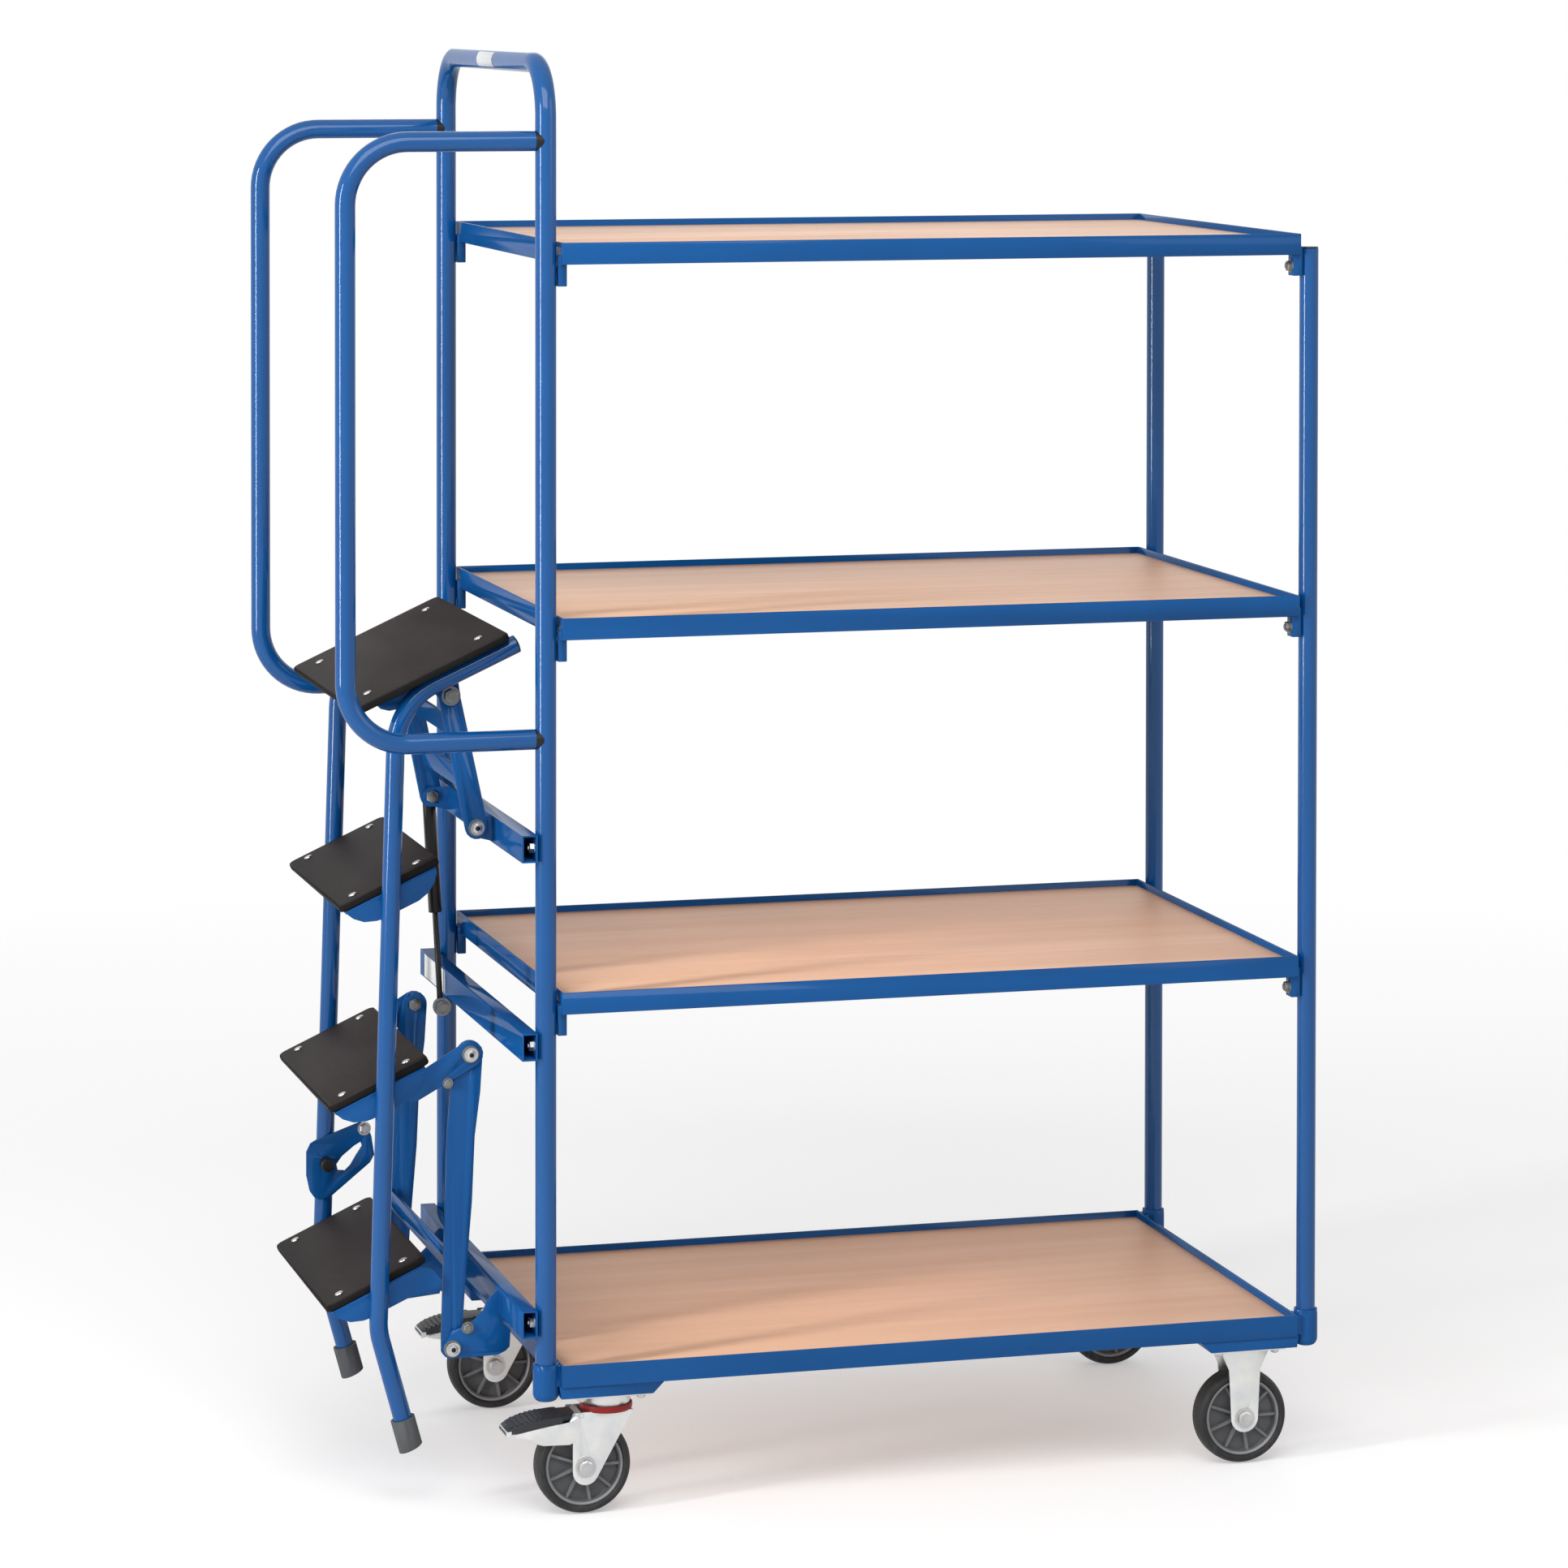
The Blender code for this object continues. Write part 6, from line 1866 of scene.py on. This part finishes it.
@dataclass
class Castors:
    """The four castors: plates, forks, axles, wheels and the swivel pair's pedals."""

    bench: Bench
    plate_edge: float = 1.0 * MM
    fork_edge: float = 0.8 * MM
    axle_edge: float = 0.4 * MM
    plate_bolt: Pair = (6 * MM, 5 * MM)
    bolt_reach: Pair = (39 * MM, 31 * MM)
    plate_thick: float = 4.05 * MM
    ring_radius: float = 33.8 * MM
    ring_round: float = 1 * MM
    ring_outline: tuple[Pair, ...] = (
        (-6 * MM, 0.1 * MM), (-6 * MM, -5.2 * MM), (-0.6 * MM, -5.2 * MM), (0.4 * MM, -1 * MM),
        (0.0, 3.4 * MM), (-1.8 * MM, 3.4 * MM), (-2 * MM, 0.1 * MM),
    )
    axle_nut: Pair = (10.4 * MM, 6.2 * MM)
    axle_nut_sink: float = 5.2 * MM

    def build(self) -> None:
        """Makes the four castors."""
        spots: list[Stand] = []
        for word, _ in SIDES:
            self.build_swivel(word)
            self.bench.pressed(f"fixed_fork_{word}", FRAME, ZINC, "zinc", self.fork_edge)
            self.build_axle(f"fixed_axle_{word}", FRAME)
            Wheel(self.bench, f"swivel_{word}", f"wheel_swivel_{word}").build()
            Wheel(self.bench, f"fixed_{word}", f"wheel_fixed_{word}").build()
            for node in (f"swivel_plate_{word}", f"fixed_fork_{word}"):
                spots += self.bolt_spots(node)
        self.bench.fastened("plate_bolts", FRAME, spots, self.plate_bolt, BOLT)

    def bolt_spots(self, node: str) -> list[Stand]:
        """Finds the spots of the four bolts under a castor's top plate.

        Args:
            node: the plate's solid.

        Returns:
            The place and the facing of each.
        """
        span, (reach_x, reach_y) = Span.of(node), self.bolt_reach
        x, y, low = span.middle.x, span.middle.y, span.high.z - self.plate_thick
        return [(Vector((x + a * reach_x, y + b * reach_y, low)), Along.DOWN.vector) for a, b in CORNERS]

    def build_swivel(self, word: str) -> None:
        """A swivel castor's plate, fork, red ring, axle and pedal.

        Args:
            word: the side, front or rear.
        """
        bench, fork, plate = self.bench, f"swivel_fork_{word}", f"swivel_plate_{word}"
        bench.pressed(plate, FRAME, ZINC, "zinc", self.plate_edge)
        bench.pressed(fork, fork, ZINC, "zinc", self.fork_edge)
        head = Span.of(plate).middle
        middle = Vector((head.x, head.y, Span.of(fork).high.z))
        outline = [(self.ring_radius + out, up) for out, up in self.ring_outline]
        profile = rounded(outline, self.ring_round)
        bench.turned(f"dust_ring_{word}", fork, (RED, "zinc"), profile, (middle, Along.UP.vector))
        self.build_axle(f"swivel_axle_{word}", fork)
        Pedal(bench, word).build()

    def build_axle(self, node: str, body: str) -> None:
        """An axle with a hexagon nut at each end.

        Args:
            node: the axle's solid.
            body: the body that it rides on.
        """
        self.bench.pressed(node, body, BOLT, "bolt_steel", self.axle_edge)
        span = Span.of(node)
        spots = []
        for _, side in SIDES:
            end = span.high.y if side > 0 else span.low.y
            place = Vector((span.middle.x, end - side * self.axle_nut_sink, span.middle.z))
            spots.append((place, sideways(side)))
        self.bench.fastened(f"{node}_nuts", body, spots, self.axle_nut, BOLT)


@dataclass
class Pedal:
    """A brake pedal: its zinc arm, the ribbed dark cover on its toe and the side flanges.

    The cover's rows give, in millimetres from the pivot, a section's place along X, the heights of
    its top and of its rim, and half its width. The flange's outline gives X and Z.
    """

    bench: Bench
    word: str
    sharp: float = math.radians(25)
    arm_edge: float = 0.7 * MM
    length: float = 98 * MM
    pivot_drop: float = 3.5 * MM
    top_edge: Pair = (1.2 * MM, 1.6 * MM)
    rows: tuple[tuple[float, float, float, float], ...] = (
        (-98.4, -16.5, -19.5, 20.0), (-95, -13.0, -19.0, 22.0), (-86, -8.6, -17.2, 24.6),
        (-74, -4.6, -15.0, 25.4), (-60, -1.4, -12.6, 25.4), (-46, 0.6, -10.4, 25.4),
        (-30, 1.8, -7.6, 25.4), (-25, 2.0, -7.0, 24.6), (-24.5, 2.0, -6.8, 19.4),
        (-14, 2.2, -5.0, 19.4), (-3, 2.2, 0.2, 19.0), (4.5, 1.6, 0.4, 18.0),
    )
    flange: tuple[Pair, ...] = (
        (-90, -21.5), (-64, -27), (-57, -33), (-50, -35), (-16, -36), (-9, -33), (-5, -20), (-7, -5),
        (-24, -8), (-46, -11), (-60, -13.2), (-86, -18),
    )
    flange_reach: Pair = (23.4 * MM, 24.8 * MM)
    grips: int = 7
    grip_from: float = -90 * MM
    grip_pitch: float = 6.4 * MM
    grip_side: float = 2.8 * MM
    grip_inset: float = 7 * MM

    def build(self) -> None:
        """Makes the pedal's pieces."""
        bench, word = self.bench, self.word
        body, node = f"pedal_{word}", f"brake_pedal_{word}"
        bench.pressed(node, body, ZINC, "zinc", self.arm_edge)
        span = Span.of(node)
        pivot = Vector((span.low.x + self.length, span.middle.y, span.high.z - self.pivot_drop))
        name = f"pedal_cover_{word}"
        cover = dress(piece_of(name, self.cover_mesh(name, pivot)), bench.finish(PEDAL), self.sharp)
        bench.fit(cover, body, "black_steel")
        outline = [(pivot.x + x * MM, pivot.z + z * MM) for x, z in self.flange]
        fork_y = Span.of(f"swivel_fork_{word}").middle.y
        for place, side in SIDES:
            faces_y = sorted(fork_y + side * reach for reach in self.flange_reach)
            flange = slab_piece(f"pedal_flange_{word}_{place}", outline, faces_y, bench.finish(ZINC))
            bench.fit(flange, body, "zinc")

    def cover_mesh(self, name: str, pivot: Vector) -> Mesh:
        """The arched cover, skinned over its sections.

        Args:
            name: the mesh's name.
            pivot: the pedal's pivot.

        Returns:
            The closed mesh.
        """
        form = bmesh.new()
        sections = [tuple(value * MM for value in row) for row in self.rows]
        drop, inset = self.top_edge
        loops = []
        for along, top, low, half in sections:
            side = [(half, low), (half, top - drop), (half - inset, top)]
            corners = side + [(-across, up) for across, up in reversed(side)]
            loops.append([form.verts.new(pivot + Vector((along, across, up))) for across, up in corners])
        skinned(form, loops)
        self.add_grips(form, pivot, sections)
        return mesh_of(form, name)

    def add_grips(self, form: Form, pivot: Vector, sections: Sequence[Sequence[float]]) -> None:
        """Sets cross ribs on the cover's toe, along its slope.

        Args:
            form: the cover under construction.
            pivot: the pedal's pivot.
            sections: the cover's sections.
        """
        for index in range(self.grips):
            x = self.grip_from + index * self.grip_pitch
            for (x0, top0, _, half), (x1, top1, _, _) in zip(sections, sections[1:]):
                if x0 <= x < x1:
                    up = top0 + (top1 - top0) * (x - x0) / (x1 - x0)
                    lean = math.atan2(top1 - top0, x1 - x0)
                    rib = bmesh.ops.create_cube(form, size=1.0)["verts"]
                    size = (self.grip_side, 2 * half - self.grip_inset, self.grip_side)
                    bmesh.ops.scale(form, vec=size, verts=rib)
                    place = Matrix.Translation(pivot + Vector((x, 0.0, up))) @ Matrix.Rotation(-lean, 4, "Y")
                    bmesh.ops.transform(form, matrix=place, verts=rib)


@dataclass(frozen=True)
class Lamp:
    """A soft box: its name, place, size in metres and power in watts."""

    name: str
    place: Rgb
    width: float
    height: float
    power: float

    def hang(self, target: Vector) -> None:
        """Hangs the lamp.

        Args:
            target: what it looks at.
        """
        data = bpy.data.lights.new(self.name, "AREA")
        data.shape = "RECTANGLE"
        data.size = self.width
        data.size_y = self.height
        data.energy = self.power
        lamp = bpy.data.objects.new(self.name, data)
        lamp.location = self.place
        lamp.rotation_euler = (target - Vector(self.place)).to_track_quat("-Z", "Y").to_euler()
        bpy.context.scene.collection.objects.link(lamp)


@dataclass
class Studio:
    """The floor, the lamps, the sky and the camera."""

    camera_place: Rgb = (-1.95485, -7.0310, 1.9731)
    yaw: float = math.radians(-15.626)
    pitch: float = math.radians(1.421)
    roll: float = math.radians(0.058)
    lens: float = 124.82
    sensor: float = 36.0
    shift: Pair = (-0.00104, -0.428)
    sky_on_object: float = 0.42
    floor_size: float = 60.0
    floor_colour: float = 0.74
    floor_glow: float = 0.36
    floor_roughness: float = 0.9
    floor_specular: float = 0.1
    floor_blend: Pair = (2.0, 4.5)
    target: Rgb = (0.0, 0.0, 0.9)
    lamps: tuple[Lamp, ...] = (
        Lamp("key", (-5.2, -1.8, 1.7), 0.5, 3.0, 190.0),
        Lamp("front", (-1.1, -3.0, 3.7), 3.2, 2.2, 96.0),
        Lamp("fill", (4.4, -4.2, 3.2), 3.2, 3.2, 45.0),
        Lamp("top", (0.3, -0.2, 4.9), 3.4, 3.4, 5.0),
        Lamp("back", (1.5, 4.8, 3.0), 3.0, 3.0, 35.0),
    )

    def build(self) -> None:
        """Sets up the whole studio."""
        scene = bpy.context.scene
        scene.view_settings.view_transform = "Standard"
        self.build_camera(scene)
        self.build_world(scene)
        self.build_floor()
        self.build_lamps()

    def build_camera(self, scene: bpy.types.Scene) -> None:
        """The camera at the photograph's place.

        Args:
            scene: the scene.
        """
        data = bpy.data.cameras.new("camera")
        data.lens = self.lens
        data.sensor_width = self.sensor
        data.shift_x, data.shift_y = self.shift
        data.clip_end = 200.0
        camera = bpy.data.objects.new("camera", data)
        turn = Matrix.Rotation(self.yaw, 4, "Z") @ Matrix.Rotation(math.pi / 2 - self.pitch, 4, "X")
        turn = turn @ Matrix.Rotation(self.roll, 4, "Z")
        camera.matrix_world = Matrix.Translation(self.camera_place) @ turn
        scene.collection.objects.link(camera)
        scene.camera = camera

    def build_world(self, scene: bpy.types.Scene) -> None:
        """A white sky for the camera and in reflections, with a plainer light on the object.

        Args:
            scene: the scene.
        """
        world = bpy.data.worlds.new("sky")
        world.use_nodes = True
        scene.world = world
        shader = Shader(world.node_tree)
        nodes = world.node_tree.nodes
        nodes.clear()
        seen = self.seen_rays(shader)
        mix = shader.add("ShaderNodeMixShader")
        shader.link(seen, mix.inputs["Fac"])
        for socket, strength in ((mix.inputs[1], self.sky_on_object), (mix.inputs[2], 1.0)):
            sky = shader.add("ShaderNodeBackground")
            sky.inputs["Color"].default_value = (1.0, 1.0, 1.0, 1.0)
            sky.inputs["Strength"].default_value = strength
            shader.link(sky.outputs[0], socket)
        result = shader.add("ShaderNodeOutputWorld")
        shader.link(mix.outputs[0], result.inputs["Surface"])

    @staticmethod
    def seen_rays(shader: Shader) -> Socket:
        """Tells the rays that show the background: the camera's, mirrored ones and those through glass.

        Args:
            shader: the shader that asks.

        Returns:
            1 for such a ray, or else 0.
        """
        rays = shader.add("ShaderNodeLightPath")
        total = rays.outputs["Is Camera Ray"]
        for name in ("Is Glossy Ray", "Is Transmission Ray"):
            larger = shader.add("ShaderNodeMath", operation="MAXIMUM")
            shader.link(total, larger.inputs[0])
            shader.link(rays.outputs[name], larger.inputs[1])
            total = larger.outputs[0]
        return total

    def build_floor(self) -> None:
        """A wide pale floor that keeps the trolley's shadow."""
        half = self.floor_size / 2
        mesh = bpy.data.meshes.new("floor")
        corners = [(-half, -half, 0.0), (half, -half, 0.0), (half, half, 0.0), (-half, half, 0.0)]
        mesh.from_pydata(corners, [], [(0, 1, 2, 3)])
        floor = piece_of("floor", mesh)
        material = bpy.data.materials.new("studio_floor")
        material.use_nodes = True
        shader = Shader(material.node_tree)
        surface = material.node_tree.nodes["Principled BSDF"]
        surface.inputs["Base Color"].default_value = (self.floor_colour,) * 3 + (1.0,)
        surface.inputs["Roughness"].default_value = self.floor_roughness
        surface.inputs["Specular IOR Level"].default_value = self.floor_specular
        seen = self.seen_rays(shader)
        glow = shader.add("ShaderNodeEmission")
        strength = shader.add("ShaderNodeMath", operation="MULTIPLY")
        strength.inputs[1].default_value = self.floor_glow
        shader.link(seen, strength.inputs[0])
        shader.link(strength.outputs[0], glow.inputs["Strength"])
        add = shader.add("ShaderNodeAddShader")
        shader.link(surface.outputs[0], add.inputs[0])
        shader.link(glow.outputs[0], add.inputs[1])
        distance = shader.add("ShaderNodeVectorMath", operation="LENGTH")
        shader.link(shader.add("ShaderNodeTexCoord").outputs["Object"], distance.inputs[0])
        share = shader.add("ShaderNodeMath", operation="MULTIPLY")
        shader.link(shader.ranged(distance.outputs["Value"], 0.0, 1.0, *self.floor_blend), share.inputs[0])
        shader.link(seen, share.inputs[1])
        white = shader.add("ShaderNodeEmission")
        blend = shader.add("ShaderNodeMixShader")
        shader.link(share.outputs[0], blend.inputs["Fac"])
        shader.link(add.outputs[0], blend.inputs[1])
        shader.link(white.outputs[0], blend.inputs[2])
        shader.link(blend.outputs[0], material.node_tree.nodes["Material Output"].inputs["Surface"])
        mesh.materials.append(material)

    def build_lamps(self) -> None:
        """Soft boxes: a key from the left, one in front, a fill from the right, a top and a back one."""
        for lamp in self.lamps:
            lamp.hang(Vector(self.target))


def main() -> None:
    """Builds every sub-assembly in order."""
    logging.basicConfig(level=logging.INFO, format="%(message)s")
    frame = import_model()
    shared = Shared(relief_group(), handling_group())
    bench = Bench(shared, TubeBender(), Fasteners(), Lathe(), Press(), SpokeMaker())
    for assembly in (Uprights, Shelves, CrossBars, Ladder, Linkage, Castors):
        assembly(bench).build()
        LOG.info("%s done", assembly.__name__)
    Studio().build()


if __name__ == "__main__":
    main()
